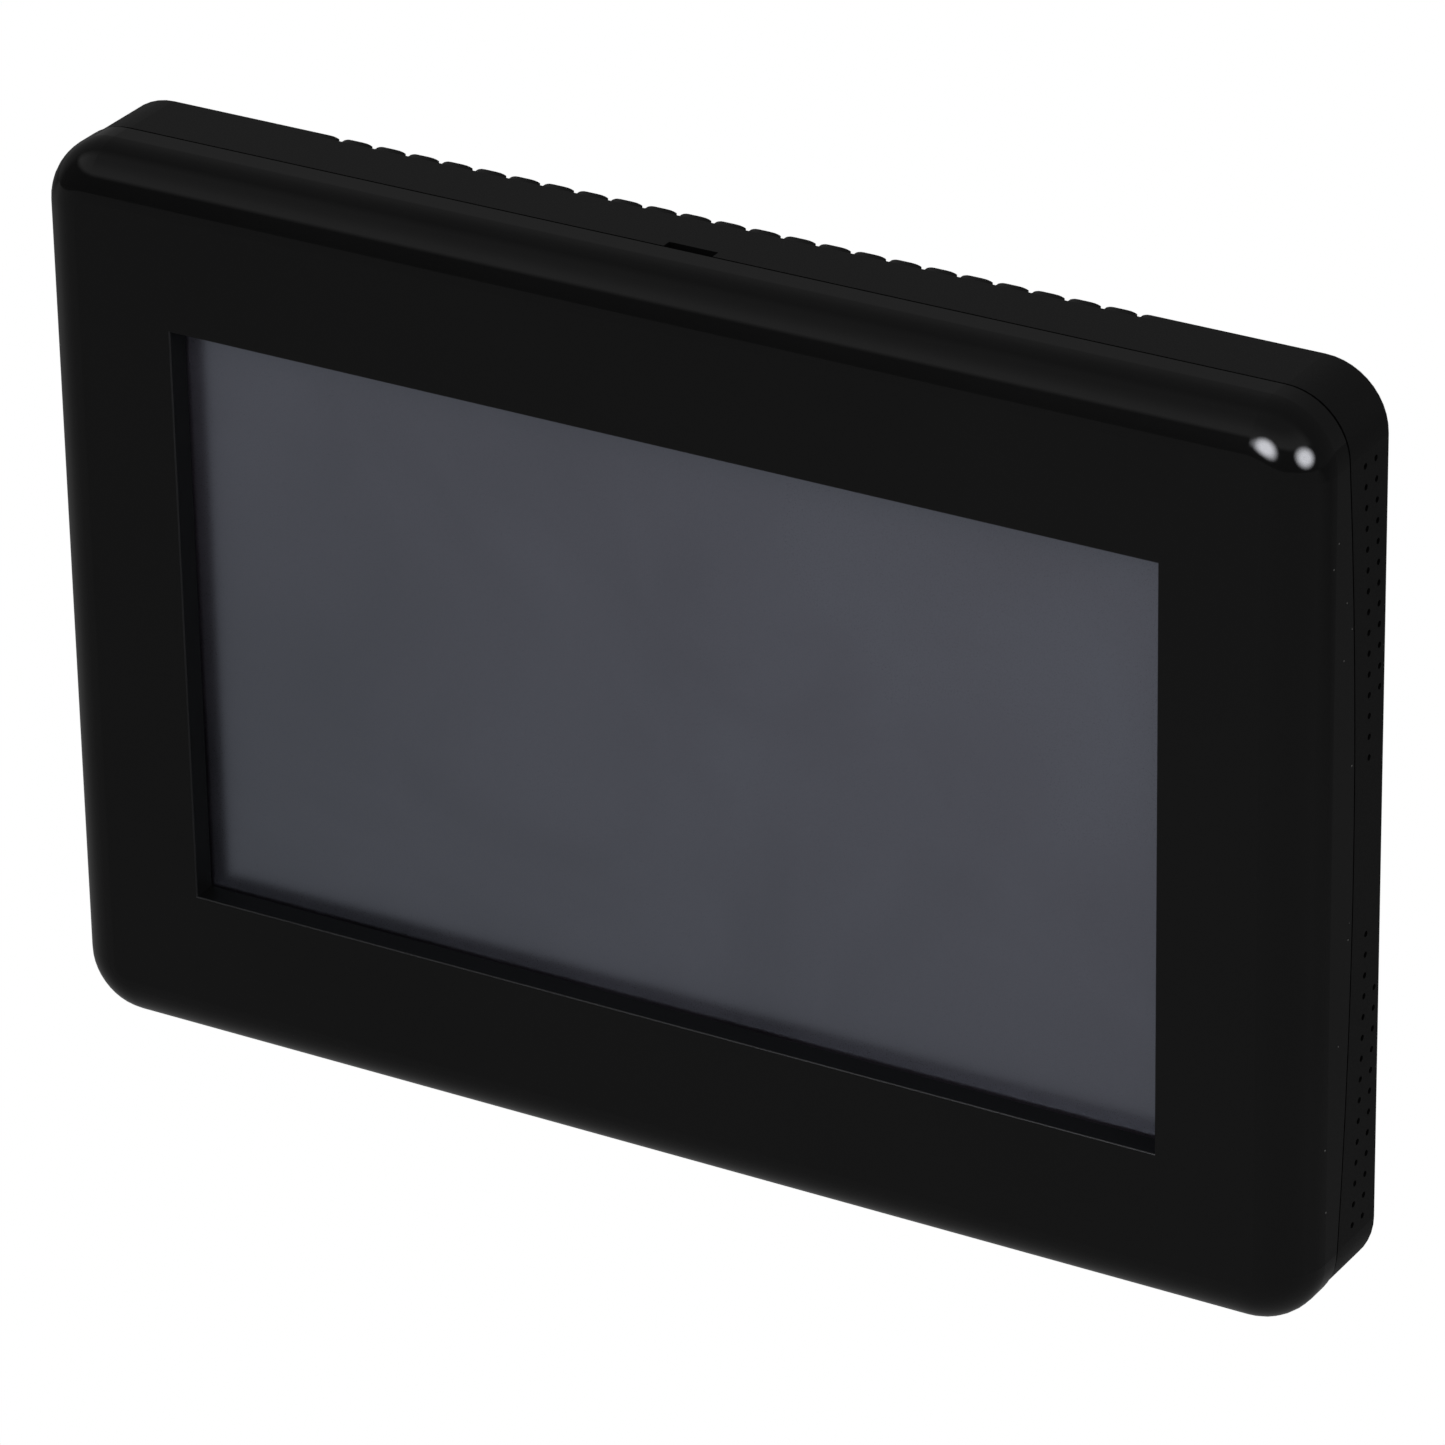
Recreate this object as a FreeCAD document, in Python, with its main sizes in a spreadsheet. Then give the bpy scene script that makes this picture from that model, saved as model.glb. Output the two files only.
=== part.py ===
"""Wall-mounted alarm keypad panel with a seven-inch touch display.

A glossy bezel carries the display and the circuit board.  It is hinged along its
lower edge to a satin rear case that is screwed to the wall, and a sprung release
latch holds it at the top.  X runs along the width, Z is up, and the front faces -Y.
The origin lies in the wall plane, at the centre of the rear case.  Sizes are in mm.
"""
import FreeCAD, Part
import math
import os
import Sketcher

Vector = FreeCAD.Vector
Rotation = FreeCAD.Rotation

doc = FreeCAD.newDocument("alarm_keypad_panel")
sizes = doc.addObject("Spreadsheet::Sheet", "sizes")

DRIVING_SIZES = [
    # outline of the two shells
    ("width", 198.0),
    ("height", 135.4),
    ("depth", 22.4),
    ("corner_radius", 9.5),
    ("wall", 2.0),
    ("front_edge_radius", 7.2),
    ("cheek_depth", 6.2),
    ("cheek_inset", 3.6),
    ("rear_edge_radius", 0.6),
    ("rear_inset", 0.15),
    ("case_inner_inset", 2.35),
    ("seam_depth", 10.85),
    ("seam_gap", 0.6),
    ("seam_bow", 2.9),
    ("seam_bow_half", 58.2),
    # display window
    ("window_width", 153.6),
    ("window_height", 87.4),
    ("lip_radius", 0.3),
    ("face_thickness", 2.0),
    ("skirt_thickness", 1.7),
    # pry notch and vents in the rear case
    ("notch_width", 7.6),
    ("notch_depth", 1.5),
    ("vent_count", 24),
    ("vent_pitch", 5.4),
    ("scallop_half_width", 2.45),
    ("scallop_sag", 0.75),
    ("scallop_reach", 1.6),
    ("vent_channel_width", 0.8),
    ("vent_channel_depth", 0.5),
    ("vent_port_height", 4.0),
    ("vent_port_width", 2.2),
    # side perforations
    ("hole_radius", 0.45),
    ("hole_pitch", 3.08),
    ("hole_first", 13.1),
    ("hole_front_offset", 4.3),
    ("hole_column_step", 3.0),
    # tongue inside the seam, as distances from the wall plane
    ("tongue_root", 8.05),
    ("tongue_reach", 12.9),
    ("tongue_latch_gap", 18.0),
    # hinge along the lower edge
    ("hinge_height", 1.5),
    ("hinge_station", 60.0),
    ("knuckle_radius", 1.45),
    ("knuckle_length", 8.0),
    ("ear_length", 3.0),
    ("pin_radius", 0.8),
    ("pin_clearance", 0.05),
    ("relief_radius", 1.75),
    # wall fixing and cable entry
    ("slot_spacing_x", 120.0),
    ("slot_spacing_z", 83.3),
    ("slot_width", 4.4),
    ("slot_length", 9.0),
    ("cable_width", 56.0),
    ("cable_height", 30.0),
    ("cable_centre_z", -12.0),
    # display stack
    ("gasket_thickness", 0.5),
    ("touch_thickness", 1.2),
    ("touch_width", 164.6),
    ("touch_height", 99.6),
    ("glass_width", 160.6),
    ("glass_height", 95.6),
    ("glass_thickness", 1.2),
    ("guide_thickness", 2.0),
    ("tray_thickness", 0.5),
    ("frame_width", 164.6),
    ("frame_height", 99.6),
    # circuit board
    ("board_width", 180.0),
    ("board_height", 104.0),
    ("board_thickness", 1.6),
    ("board_back", 9.4),
    ("boss_radius", 2.6),
    ("boss_x", 86.0),
    ("boss_z", 46.0),
    ("screw_radius", 1.2),
    ("screw_hole_radius", 1.4),
    ("screw_head_radius", 2.4),
    ("screw_head_height", 1.6),
]

for row, (alias, number) in enumerate(DRIVING_SIZES, start=1):
    sizes.set("A%d" % row, alias)
    sizes.set("B%d" % row, str(number))
    sizes.setAlias("B%d" % row, alias)
doc.recompute()

HALF_TURN = 180.0
TOWARD_FRONT = Rotation(Vector(1, 0, 0), 90)
TOWARD_WALL = Rotation(Vector(1, 0, 0), -90)
ALONG_X = Rotation(Vector(0, 1, 0), 90)
UPWARD = Rotation()

# Depths of the layers, measured from the wall plane toward the front.
FACE_BACK = "sizes.depth - sizes.face_thickness"
SKIRT_BACK = FACE_BACK + " - sizes.skirt_thickness"
GASKET_BACK = SKIRT_BACK + " - sizes.gasket_thickness"
TOUCH_BACK = GASKET_BACK + " - sizes.touch_thickness"
GLASS_BACK = TOUCH_BACK + " - sizes.glass_thickness"
GUIDE_BACK = GLASS_BACK + " - sizes.guide_thickness"
TRAY_BACK = GUIDE_BACK + " - sizes.tray_thickness"
BOARD_FRONT = "sizes.board_back + sizes.board_thickness"
SEAM = "sizes.depth - sizes.seam_depth"
HINGE_Z = "-sizes.height / 2 + sizes.hinge_height"


def value(expression):
    """The number that an expression on the sheet gives."""
    result = sizes.evalExpression(expression)
    return float(getattr(result, "Value", result))


# --------------------------------------------------------------------------
# Sketch and feature helpers
# --------------------------------------------------------------------------
def new_body(label):
    body = doc.addObject("PartDesign::Body", label)
    body.Label = label
    return body


def new_sketch(body, name, plane, offset="0"):
    """A sketch on one of the body's origin planes, moved along the plane's normal.

    The normal of XZ points to the front (-Y), of XY up and of YZ along +X.
    """
    sketch = body.newObject("Sketcher::SketchObject", name)
    support = [item for item in body.Origin.OriginFeatures if item.Role == plane][0]
    sketch.AttachmentSupport = [(support, "")]
    sketch.MapMode = "FlatFace"
    sketch.setExpression("AttachmentOffset.Base.z", offset)
    return sketch


def bind(sketch, constraint, expression):
    """Add a dimension and drive it from the sheet."""
    index = sketch.addConstraint(constraint)
    sketch.setExpression("Constraints[%d]" % index, expression)
    return index


def rounded_loop(sketch, width, height, radius, centre_x="0", centre_y="0"):
    """A rectangle with round corners, fully driven by expressions."""
    half_w = value(width) / 2
    half_h = value(height) / 2
    r = value(radius)
    cx = value(centre_x)
    cy = value(centre_y)
    first = sketch.GeometryCount
    corners = [(1, -1, -90), (1, 1, 0), (-1, 1, 90), (-1, -1, 180)]
    for sx, sy, start in corners:
        centre = Vector(cx + sx * (half_w - r), cy + sy * (half_h - r), 0)
        circle = Part.Circle(centre, Vector(0, 0, 1), r)
        arc = Part.ArcOfCircle(circle, math.radians(start), math.radians(start + 90))
        sketch.addGeometry(arc, False)
    ends = []
    for index in range(4):
        arc = sketch.Geometry[first + index]
        ends.append((arc.StartPoint, arc.EndPoint))
    for index in range(4):
        following = (index + 1) % 4
        sketch.addGeometry(Part.LineSegment(ends[index][1], ends[following][0]), False)
    for index in range(4):
        following = (index + 1) % 4
        line = first + 4 + index
        sketch.addConstraint(Sketcher.Constraint("Tangent", first + index, 2, line, 1))
        sketch.addConstraint(Sketcher.Constraint("Tangent", line, 2, first + following, 1))
    right, top, left, bottom = (first + 4, first + 5, first + 6, first + 7)
    for line in (right, left):
        sketch.addConstraint(Sketcher.Constraint("Vertical", line))
    for line in (top, bottom):
        sketch.addConstraint(Sketcher.Constraint("Horizontal", line))
    for index in range(1, 4):
        sketch.addConstraint(Sketcher.Constraint("Equal", first, first + index))
    bind(sketch, Sketcher.Constraint("Radius", first, r), radius)
    place_point(sketch, right, 1, cx + half_w, None, "(%s) + (%s) / 2" % (centre_x, width), None)
    place_point(sketch, left, 1, cx - half_w, None, "(%s) - (%s) / 2" % (centre_x, width), None)
    place_point(sketch, top, 1, None, cy + half_h, None, "(%s) + (%s) / 2" % (centre_y, height))
    place_point(sketch, bottom, 1, None, cy - half_h, None, "(%s) - (%s) / 2" % (centre_y, height))


def place_point(sketch, geometry, end, x, y, x_expression, y_expression):
    """Fix a point by its signed distances from the sketch's origin."""
    if x_expression is not None:
        if abs(x) < 1e-9:
            sketch.addConstraint(Sketcher.Constraint("PointOnObject", geometry, end, -2))
        else:
            bind(sketch, Sketcher.Constraint("DistanceX", -1, 1, geometry, end, x), x_expression)
    if y_expression is not None:
        if abs(y) < 1e-9:
            sketch.addConstraint(Sketcher.Constraint("PointOnObject", geometry, end, -1))
        else:
            bind(sketch, Sketcher.Constraint("DistanceY", -1, 1, geometry, end, y), y_expression)


def rectangle_loop(sketch, left, right, bottom, top):
    """A plain rectangle given by expressions for its four sides."""
    x0, x1, y0, y1 = (value(item) for item in (left, right, bottom, top))
    first = sketch.GeometryCount
    corners = [Vector(x0, y0, 0), Vector(x1, y0, 0), Vector(x1, y1, 0), Vector(x0, y1, 0)]
    for index in range(4):
        sketch.addGeometry(Part.LineSegment(corners[index], corners[(index + 1) % 4]), False)
    for index in range(4):
        joint = (first + index, 2, first + (index + 1) % 4, 1)
        sketch.addConstraint(Sketcher.Constraint("Coincident", *joint))
    for line in (first, first + 2):
        sketch.addConstraint(Sketcher.Constraint("Horizontal", line))
    for line in (first + 1, first + 3):
        sketch.addConstraint(Sketcher.Constraint("Vertical", line))
    place_point(sketch, first, 1, x0, y0, left, bottom)
    place_point(sketch, first + 2, 1, x1, y1, right, top)


def circle_loop(sketch, radius, centre_x="0", centre_y="0"):
    cx = value(centre_x)
    cy = value(centre_y)
    circle = Part.Circle(Vector(cx, cy, 0), Vector(0, 0, 1), value(radius))
    index = sketch.addGeometry(circle, False)
    bind(sketch, Sketcher.Constraint("Radius", index, value(radius)), radius)
    place_point(sketch, index, 3, cx, cy, centre_x, centre_y)


def profile_loop(sketch, points):
    """A closed outline through points given as pairs of expressions."""
    spots = [Vector(value(x), value(y), 0) for x, y in points]
    first = sketch.GeometryCount
    count = len(points)
    for index in range(count):
        sketch.addGeometry(Part.LineSegment(spots[index], spots[(index + 1) % count]), False)
    for index in range(count):
        joint = (first + index, 2, first + (index + 1) % count, 1)
        sketch.addConstraint(Sketcher.Constraint("Coincident", *joint))
    for index, (x, y) in enumerate(points):
        place_point(sketch, first + index, 1, spots[index].x, spots[index].y, x, y)


def pad(body, sketch, length, reverse=False, both_ways=False):
    feature = body.newObject("PartDesign::Pad", sketch.Name + "_pad")
    feature.Profile = sketch
    feature.setExpression("Length", length)
    feature.Reversed = reverse
    if both_ways:
        feature.SideType = "Symmetric"
    sketch.Visibility = False
    doc.recompute()
    return feature


def pocket(body, sketch, length, reverse=False, both_ways=False):
    """Cut a sketch into the body and make sure that something was cut."""
    before = body.Shape.Volume
    feature = body.newObject("PartDesign::Pocket", sketch.Name + "_pocket")
    feature.Profile = sketch
    feature.setExpression("Length", length)
    feature.Reversed = reverse
    if both_ways:
        feature.SideType = "Symmetric"
    sketch.Visibility = False
    doc.recompute()
    if body.Shape.Volume > before - 1e-3:
        raise RuntimeError("%s cut nothing" % feature.Name)
    return feature


def edges_where(shape, test):
    """Names of the edges whose every sampled point passes a test."""
    names = []
    for index, edge in enumerate(shape.Edges, start=1):
        points = edge.discretize(5)
        if all(test(point) for point in points):
            names.append("Edge%d" % index)
    return names


def dress(body, kind, base, names, size):
    feature = body.newObject("PartDesign::" + kind, base.Name + "_" + kind.lower())
    feature.Base = (base, names)
    feature.setExpression("Radius" if kind == "Fillet" else "Size", size)
    doc.recompute()
    if "Invalid" in feature.State:
        raise RuntimeError("%s failed" % feature.Name)
    return feature


def near(number, target, tolerance=0.02):
    return abs(number - target) < tolerance


# --------------------------------------------------------------------------
# Primitive helpers
# --------------------------------------------------------------------------
def set_position(item, x, y, z, turn=UPWARD):
    item.Placement = FreeCAD.Placement(Vector(0, 0, 0), turn)
    item.setExpression("Placement.Base.x", x)
    item.setExpression("Placement.Base.y", y)
    item.setExpression("Placement.Base.z", z)


def box(label, length, width, height, centre_x, front, centre_z):
    """A block centred in X and Z, whose front face lies `front` in front of the wall."""
    item = doc.addObject("Part::Box", label)
    item.Label = label
    item.setExpression("Length", length)
    item.setExpression("Width", width)
    item.setExpression("Height", height)
    x = "(%s) - (%s) / 2" % (centre_x, length)
    z = "(%s) - (%s) / 2" % (centre_z, height)
    set_position(item, x, "-(%s)" % front, z)
    return item


def cylinder(label, radius, height, x, y, z, turn=TOWARD_WALL):
    item = doc.addObject("Part::Cylinder", label)
    item.Label = label
    item.setExpression("Radius", radius)
    item.setExpression("Height", height)
    set_position(item, x, y, z, turn)
    return item


def cut(label, base, tool):
    item = doc.addObject("Part::Cut", label)
    item.Label = label
    item.Base = base
    item.Tool = tool
    return item


def fuse(label, pieces):
    item = doc.addObject("Part::MultiFuse", label)
    item.Label = label
    item.Shapes = pieces
    return item


def group(label, pieces):
    """Separate solids that share one node."""
    item = doc.addObject("Part::Compound", label)
    item.Label = label
    item.Links = pieces
    return item


def cut_seam_side(body, name, keep_front):
    """Trim a shell to the seam, which sweeps back along the left and right sides."""
    sketch = new_sketch(body, name, "YZ_Plane")
    edge = "-(%s)" % SEAM
    if keep_front:
        edge = "(%s) - sizes.seam_gap / 2" % edge
        far = "4"
    else:
        edge = "(%s) + sizes.seam_gap / 2" % edge
        far = "-sizes.depth - 4"
    flat = value(edge)
    half = value("sizes.seam_bow_half")
    bow = value("sizes.seam_bow")
    outer = value("sizes.height / 2 + 2")
    peak = Vector(flat + bow, 0, 0)
    arc_ends = (Vector(flat, -half, 0), Vector(flat, half, 0))
    arc = Part.Arc(arc_ends[0], peak, arc_ends[1])
    bow_index = sketch.addGeometry(arc, False)
    start_is_low = sketch.Geometry[bow_index].StartPoint.y < 0
    low_end = 1 if start_is_low else 2
    high_end = 3 - low_end
    far_y = value(far)
    chain = [arc_ends[1]]
    if keep_front:
        chain += [Vector(flat, outer, 0), Vector(far_y, outer, 0)]
        chain += [Vector(far_y, -outer, 0), Vector(flat, -outer, 0)]
    else:
        chain += [Vector(far_y, half, 0), Vector(far_y, -half, 0)]
    chain.append(arc_ends[0])
    lines = []
    for start, end in zip(chain[:-1], chain[1:]):
        lines.append(sketch.addGeometry(Part.LineSegment(start, end), False))
    sketch.addConstraint(Sketcher.Constraint("Coincident", bow_index, high_end, lines[0], 1))
    for first, second in zip(lines[:-1], lines[1:]):
        sketch.addConstraint(Sketcher.Constraint("Coincident", first, 2, second, 1))
    sketch.addConstraint(Sketcher.Constraint("Coincident", lines[-1], 2, bow_index, low_end))
    for line in lines:
        start = sketch.Geometry[line].StartPoint
        end = sketch.Geometry[line].EndPoint
        kind = "Vertical" if near(start.x, end.x) else "Horizontal"
        sketch.addConstraint(Sketcher.Constraint(kind, line))
    place_point(sketch, bow_index, low_end, flat, -half, edge, "-sizes.seam_bow_half")
    place_point(sketch, bow_index, high_end, flat, half, None, "sizes.seam_bow_half")
    radius = "(sizes.seam_bow_half ^ 2 + sizes.seam_bow ^ 2) / (2 * sizes.seam_bow)"
    bind(sketch, Sketcher.Constraint("Radius", bow_index, value(radius)), radius)
    if keep_front:
        place_point(sketch, lines[1], 1, flat, outer, None, "sizes.height / 2 + 2")
        place_point(sketch, lines[3], 1, far_y, -outer, far, "-sizes.height / 2 - 2")
    else:
        place_point(sketch, lines[1], 1, far_y, half, far, None)
    return pocket(body, sketch, "sizes.width + 8", both_ways=True)


# --------------------------------------------------------------------------
# Rear case
# --------------------------------------------------------------------------
HOLES_IN_FRONT_COLUMN = 15
HOLES_LEFT_OUT_AT_REAR = 3


def seam_bow_at(z):
    """How far the seam has swept back at a height z, as an expression."""
    return "sizes.seam_bow * (1 - ((%s) / sizes.seam_bow_half) ^ 2)" % z


def make_rear_case():
    body = new_body("rear_case")
    outer_w = "sizes.width - 2 * sizes.rear_inset"
    outer_h = "sizes.height - 2 * sizes.rear_inset"
    outer_r = "sizes.corner_radius - sizes.rear_inset"
    inner_w = "sizes.width - 2 * sizes.case_inner_inset"
    inner_h = "sizes.height - 2 * sizes.case_inner_inset"
    inner_r = "sizes.corner_radius - sizes.case_inner_inset"
    rim = "%s - sizes.seam_gap / 2" % SEAM

    outline = new_sketch(body, "case_outline", "XZ_Plane")
    rounded_loop(outline, outer_w, outer_h, outer_r)
    block = pad(body, outline, rim)
    rear_edges = edges_where(block.Shape, lambda p: near(p.y, 0))
    dress(body, "Fillet", block, rear_edges, "sizes.rear_edge_radius")

    cavity = new_sketch(body, "case_cavity", "XZ_Plane", "sizes.wall")
    rounded_loop(cavity, inner_w, inner_h, inner_r)
    pocket(body, cavity, "sizes.depth", reverse=True)
    cut_seam_side(body, "case_seam", keep_front=False)
    add_case_tongue(body)

    notch = new_sketch(body, "pry_notch", "XY_Plane", "sizes.height / 2 - 8")
    notch_rear = "-(%s) + sizes.notch_depth" % rim
    rectangle_loop(notch, "-sizes.notch_width / 2", "sizes.notch_width / 2", "-sizes.depth", notch_rear)
    pocket(body, notch, "12", reverse=True)

    add_wall_openings(body)
    add_case_hinge(body)
    add_case_ribs(body)
    add_vents(body)
    add_side_holes(body)
    return body


def add_side_holes(body):
    """Two groups of small sound holes on each side, in two columns that follow the seam."""
    before = body.Shape.Volume
    holes = new_sketch(body, "side_holes", "YZ_Plane", "sizes.width / 2 + 1")
    for side in (1, -1):
        for step in range(HOLES_IN_FRONT_COLUMN):
            z = "%d * (sizes.hole_first + %d * sizes.hole_pitch)" % (side, step)
            y = "-(%s) + %s + sizes.hole_front_offset" % (SEAM, seam_bow_at(z))
            circle_loop(holes, "sizes.hole_radius", y, z)
            if step >= HOLES_LEFT_OUT_AT_REAR:
                circle_loop(holes, "sizes.hole_radius", "%s + sizes.hole_column_step" % y, z)
    right_holes = pocket(body, holes, "sizes.wall + 2.4")
    right_side = before - body.Shape.Volume
    mirror = body.newObject("PartDesign::Mirrored", "left_holes")
    mirror.Originals = [right_holes]
    mirror.MirrorPlane = ([item for item in body.Origin.OriginFeatures
                           if item.Role == "YZ_Plane"][0], [""])
    body.Tip = mirror
    doc.recompute()
    if not near(before - body.Shape.Volume, 2 * right_side, 0.01 * right_side):
        raise RuntimeError("the left holes differ from the right ones")


def add_case_tongue(body):
    """A thin tongue inside the seam; it makes room for the hinge and for the latch."""
    ring = new_sketch(body, "case_tongue", "XZ_Plane", "sizes.tongue_root")
    room = "(2 * sizes.case_inner_inset)"
    for inset in ("-0.1", "1.9"):
        rounded_loop(ring, "sizes.width - %s - (%s)" % (room, inset),
                     "sizes.height - %s - (%s)" % (room, inset),
                     "sizes.corner_radius - sizes.case_inner_inset - (%s) / 2" % inset)
    pad(body, ring, "sizes.tongue_reach - sizes.tongue_root")
    clear = new_sketch(body, "tongue_gap", "XZ_Plane", "sizes.tongue_root - 1")
    low = "-sizes.height / 2 + sizes.case_inner_inset"
    rectangle_loop(clear, "-sizes.width / 2 + 2.8", "sizes.width / 2 - 2.8", low, "%s + 5" % low)
    high = "sizes.height / 2 - sizes.case_inner_inset"
    rectangle_loop(clear, "-sizes.tongue_latch_gap / 2", "sizes.tongue_latch_gap / 2",
                   "%s - 5" % high, high)
    pocket(body, clear, "10", reverse=True)


def vent_scallop(sketch, centre, top, half_width, sag):
    """Two shallow arcs that fall from the top edge and meet in a cusp at the centre."""
    radius = "((%s) ^ 2 + (%s) ^ 2) / (2 * (%s))" % (half_width, sag, sag)
    left = "%s - (%s)" % (centre, half_width)
    right = "%s + (%s)" % (centre, half_width)
    above = "%s + 1" % top
    heart = "%s - (%s)" % (top, radius)
    half_turned = math.asin(value(half_width) / value(radius))
    upright = math.pi / 2

    left_wall = add_line(sketch, left, above, left, top)
    circle = Part.Circle(Vector(value(left), value(heart), 0), Vector(0, 0, 1), value(radius))
    left_arc = sketch.addGeometry(Part.ArcOfCircle(circle, upright - half_turned, upright), False)
    circle = Part.Circle(Vector(value(right), value(heart), 0), Vector(0, 0, 1), value(radius))
    right_arc = sketch.addGeometry(Part.ArcOfCircle(circle, upright, upright + half_turned), False)
    right_wall = add_line(sketch, right, top, right, above)
    lid = add_line(sketch, right, above, left, above)

    for joint in ((left_wall, 2, left_arc, 2), (left_arc, 1, right_arc, 2),
                  (right_arc, 1, right_wall, 1), (right_wall, 2, lid, 1), (lid, 2, left_wall, 1)):
        sketch.addConstraint(Sketcher.Constraint("Coincident", *joint))
    for arc, x in ((left_arc, left), (right_arc, right)):
        place_point(sketch, arc, 3, value(x), value(heart), x, heart)
        bind(sketch, Sketcher.Constraint("Radius", arc, value(radius)), radius)
    sketch.addConstraint(Sketcher.Constraint("Vertical", left_wall))
    sketch.addConstraint(Sketcher.Constraint("Vertical", right_wall))
    sketch.addConstraint(Sketcher.Constraint("Horizontal", lid))
    place_point(sketch, left_wall, 2, value(left), None, left, None)
    place_point(sketch, right_wall, 1, value(right), None, right, None)
    place_point(sketch, lid, 1, None, value(above), None, above)


def add_line(sketch, x0, y0, x1, y1):
    """A line between two points given as expressions."""
    start = Vector(value(x0), value(y0), 0)
    end = Vector(value(x1), value(y1), 0)
    return sketch.addGeometry(Part.LineSegment(start, end), False)


def add_vents(body):
    """Scallops along the rear top edge, each with a channel down to a port into the case."""
    start = "-(sizes.vent_count - 1) / 2 * sizes.vent_pitch"
    scallop = new_sketch(body, "vent_scallop", "XZ_Plane", "-1")
    vent_scallop(scallop, start, "sizes.height / 2 - sizes.rear_inset",
                 "sizes.scallop_half_width", "sizes.scallop_sag")
    scallop_pocket = pocket(body, scallop, "1 + sizes.scallop_reach", reverse=True)

    channel = new_sketch(body, "vent_channel", "XY_Plane", "sizes.height / 2 - 7")
    rectangle_loop(channel, "%s - sizes.vent_channel_width / 2" % start,
                   "%s + sizes.vent_channel_width / 2" % start, "-sizes.vent_channel_depth", "1")
    channel_pocket = pocket(body, channel, "12", reverse=True)

    port = new_sketch(body, "vent_port", "XZ_Plane", "-1")
    top = "sizes.height / 2 - 6.5"
    left = "%s - sizes.vent_port_width / 2" % start
    right = "%s + sizes.vent_port_width / 2" % start
    rectangle_loop(port, left, right, "%s - sizes.vent_port_height" % top, top)
    port_pocket = pocket(body, port, "sizes.wall + 2", reverse=True)

    before = body.Shape.Volume
    pattern = body.newObject("PartDesign::LinearPattern", "vent_row")
    pattern.Originals = [scallop_pocket, channel_pocket, port_pocket]
    pattern.Direction = (channel, ["H_Axis"])
    pattern.Mode = "Spacing"
    pattern.setExpression("Offset", "sizes.vent_pitch")
    pattern.setExpression("Occurrences", "sizes.vent_count")
    body.Tip = pattern
    doc.recompute()
    if body.Shape.Volume > before - 1:
        raise RuntimeError("the vent row cut nothing")


def add_wall_openings(body):
    """Slots for the wall screws, the cable entry and the hole for the tamper plunger."""
    slots = new_sketch(body, "wall_slots", "XZ_Plane", "-1")
    for sx in (1, -1):
        for sz in (1, -1):
            x = "%d * sizes.slot_spacing_x / 2" % sx
            z = "%d * sizes.slot_spacing_z / 2" % sz
            rounded_loop(slots, "sizes.slot_length", "sizes.slot_width",
                         "sizes.slot_width / 2 - 0.001", x, z)
    pocket(body, slots, "sizes.wall + 2", reverse=True)

    entry = new_sketch(body, "cable_entry", "XZ_Plane", "-1")
    rounded_loop(entry, "sizes.cable_width", "sizes.cable_height", "4", "0", "sizes.cable_centre_z")
    pocket(body, entry, "sizes.wall + 2", reverse=True)

    tamper = new_sketch(body, "tamper_hole", "XZ_Plane", "-1")
    circle_loop(tamper, "2", TAMPER_X, TAMPER_Z)
    pocket(body, tamper, "sizes.wall + 2", reverse=True)


def add_case_hinge(body):
    """Clear the edge for the swinging bezel, then add the ears that hold the pins."""
    relief = new_sketch(body, "hinge_relief", "YZ_Plane")
    circle_loop(relief, "sizes.relief_radius", "-(%s)" % SEAM, HINGE_Z)
    pocket(body, relief, "sizes.width + 8", both_ways=True)
    offset = "sizes.knuckle_length / 2 + 0.3"
    for name, station in (("right", "sizes.hinge_station"), ("left", "-sizes.hinge_station")):
        for side, start in (("outer", "%s + %s" % (station, offset)),
                            ("inner", "%s - (%s) - sizes.ear_length" % (station, offset))):
            ear = new_sketch(body, "ear_%s_%s" % (name, side), "YZ_Plane", start)
            ear_profile(ear, reach="2.6")
            pad(body, ear, "sizes.ear_length")
            bore = new_sketch(body, "ear_bore_%s_%s" % (name, side), "YZ_Plane",
                              "%s - 0.5" % start)
            circle_loop(bore, "sizes.pin_radius", "-(%s)" % SEAM, HINGE_Z)
            pocket(body, bore, "sizes.ear_length + 1", reverse=True)


def ear_profile(sketch, reach):
    """A round ear about the hinge line with a shank that runs `reach` along Y."""
    y = "-(%s)" % SEAM
    radius = value("sizes.knuckle_radius")
    centre = Vector(value(y), value(HINGE_Z), 0)
    way = 1 if value(reach) > 0 else -1
    start_angle = 90 if way > 0 else -90
    circle = Part.Circle(centre, Vector(0, 0, 1), radius)
    arc = Part.ArcOfCircle(circle, math.radians(start_angle), math.radians(start_angle + HALF_TURN))
    curve = sketch.addGeometry(arc, False)
    first_end = sketch.Geometry[curve].StartPoint
    last_end = sketch.Geometry[curve].EndPoint
    step = Vector(value(reach), 0, 0)
    line_a = sketch.addGeometry(Part.LineSegment(last_end, last_end + step), False)
    line_b = sketch.addGeometry(Part.LineSegment(last_end + step, first_end + step), False)
    line_c = sketch.addGeometry(Part.LineSegment(first_end + step, first_end), False)
    sketch.addConstraint(Sketcher.Constraint("Tangent", curve, 2, line_a, 1))
    sketch.addConstraint(Sketcher.Constraint("Coincident", line_a, 2, line_b, 1))
    sketch.addConstraint(Sketcher.Constraint("Coincident", line_b, 2, line_c, 1))
    sketch.addConstraint(Sketcher.Constraint("Tangent", line_c, 2, curve, 1))
    sketch.addConstraint(Sketcher.Constraint("Horizontal", line_a))
    sketch.addConstraint(Sketcher.Constraint("Vertical", line_b))
    bind(sketch, Sketcher.Constraint("Radius", curve, radius), "sizes.knuckle_radius")
    place_point(sketch, curve, 3, centre.x, centre.y, y, HINGE_Z)
    end_y = "%s + (%s)" % (y, reach)
    place_point(sketch, line_b, 1, value(end_y), None, end_y, None)


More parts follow.
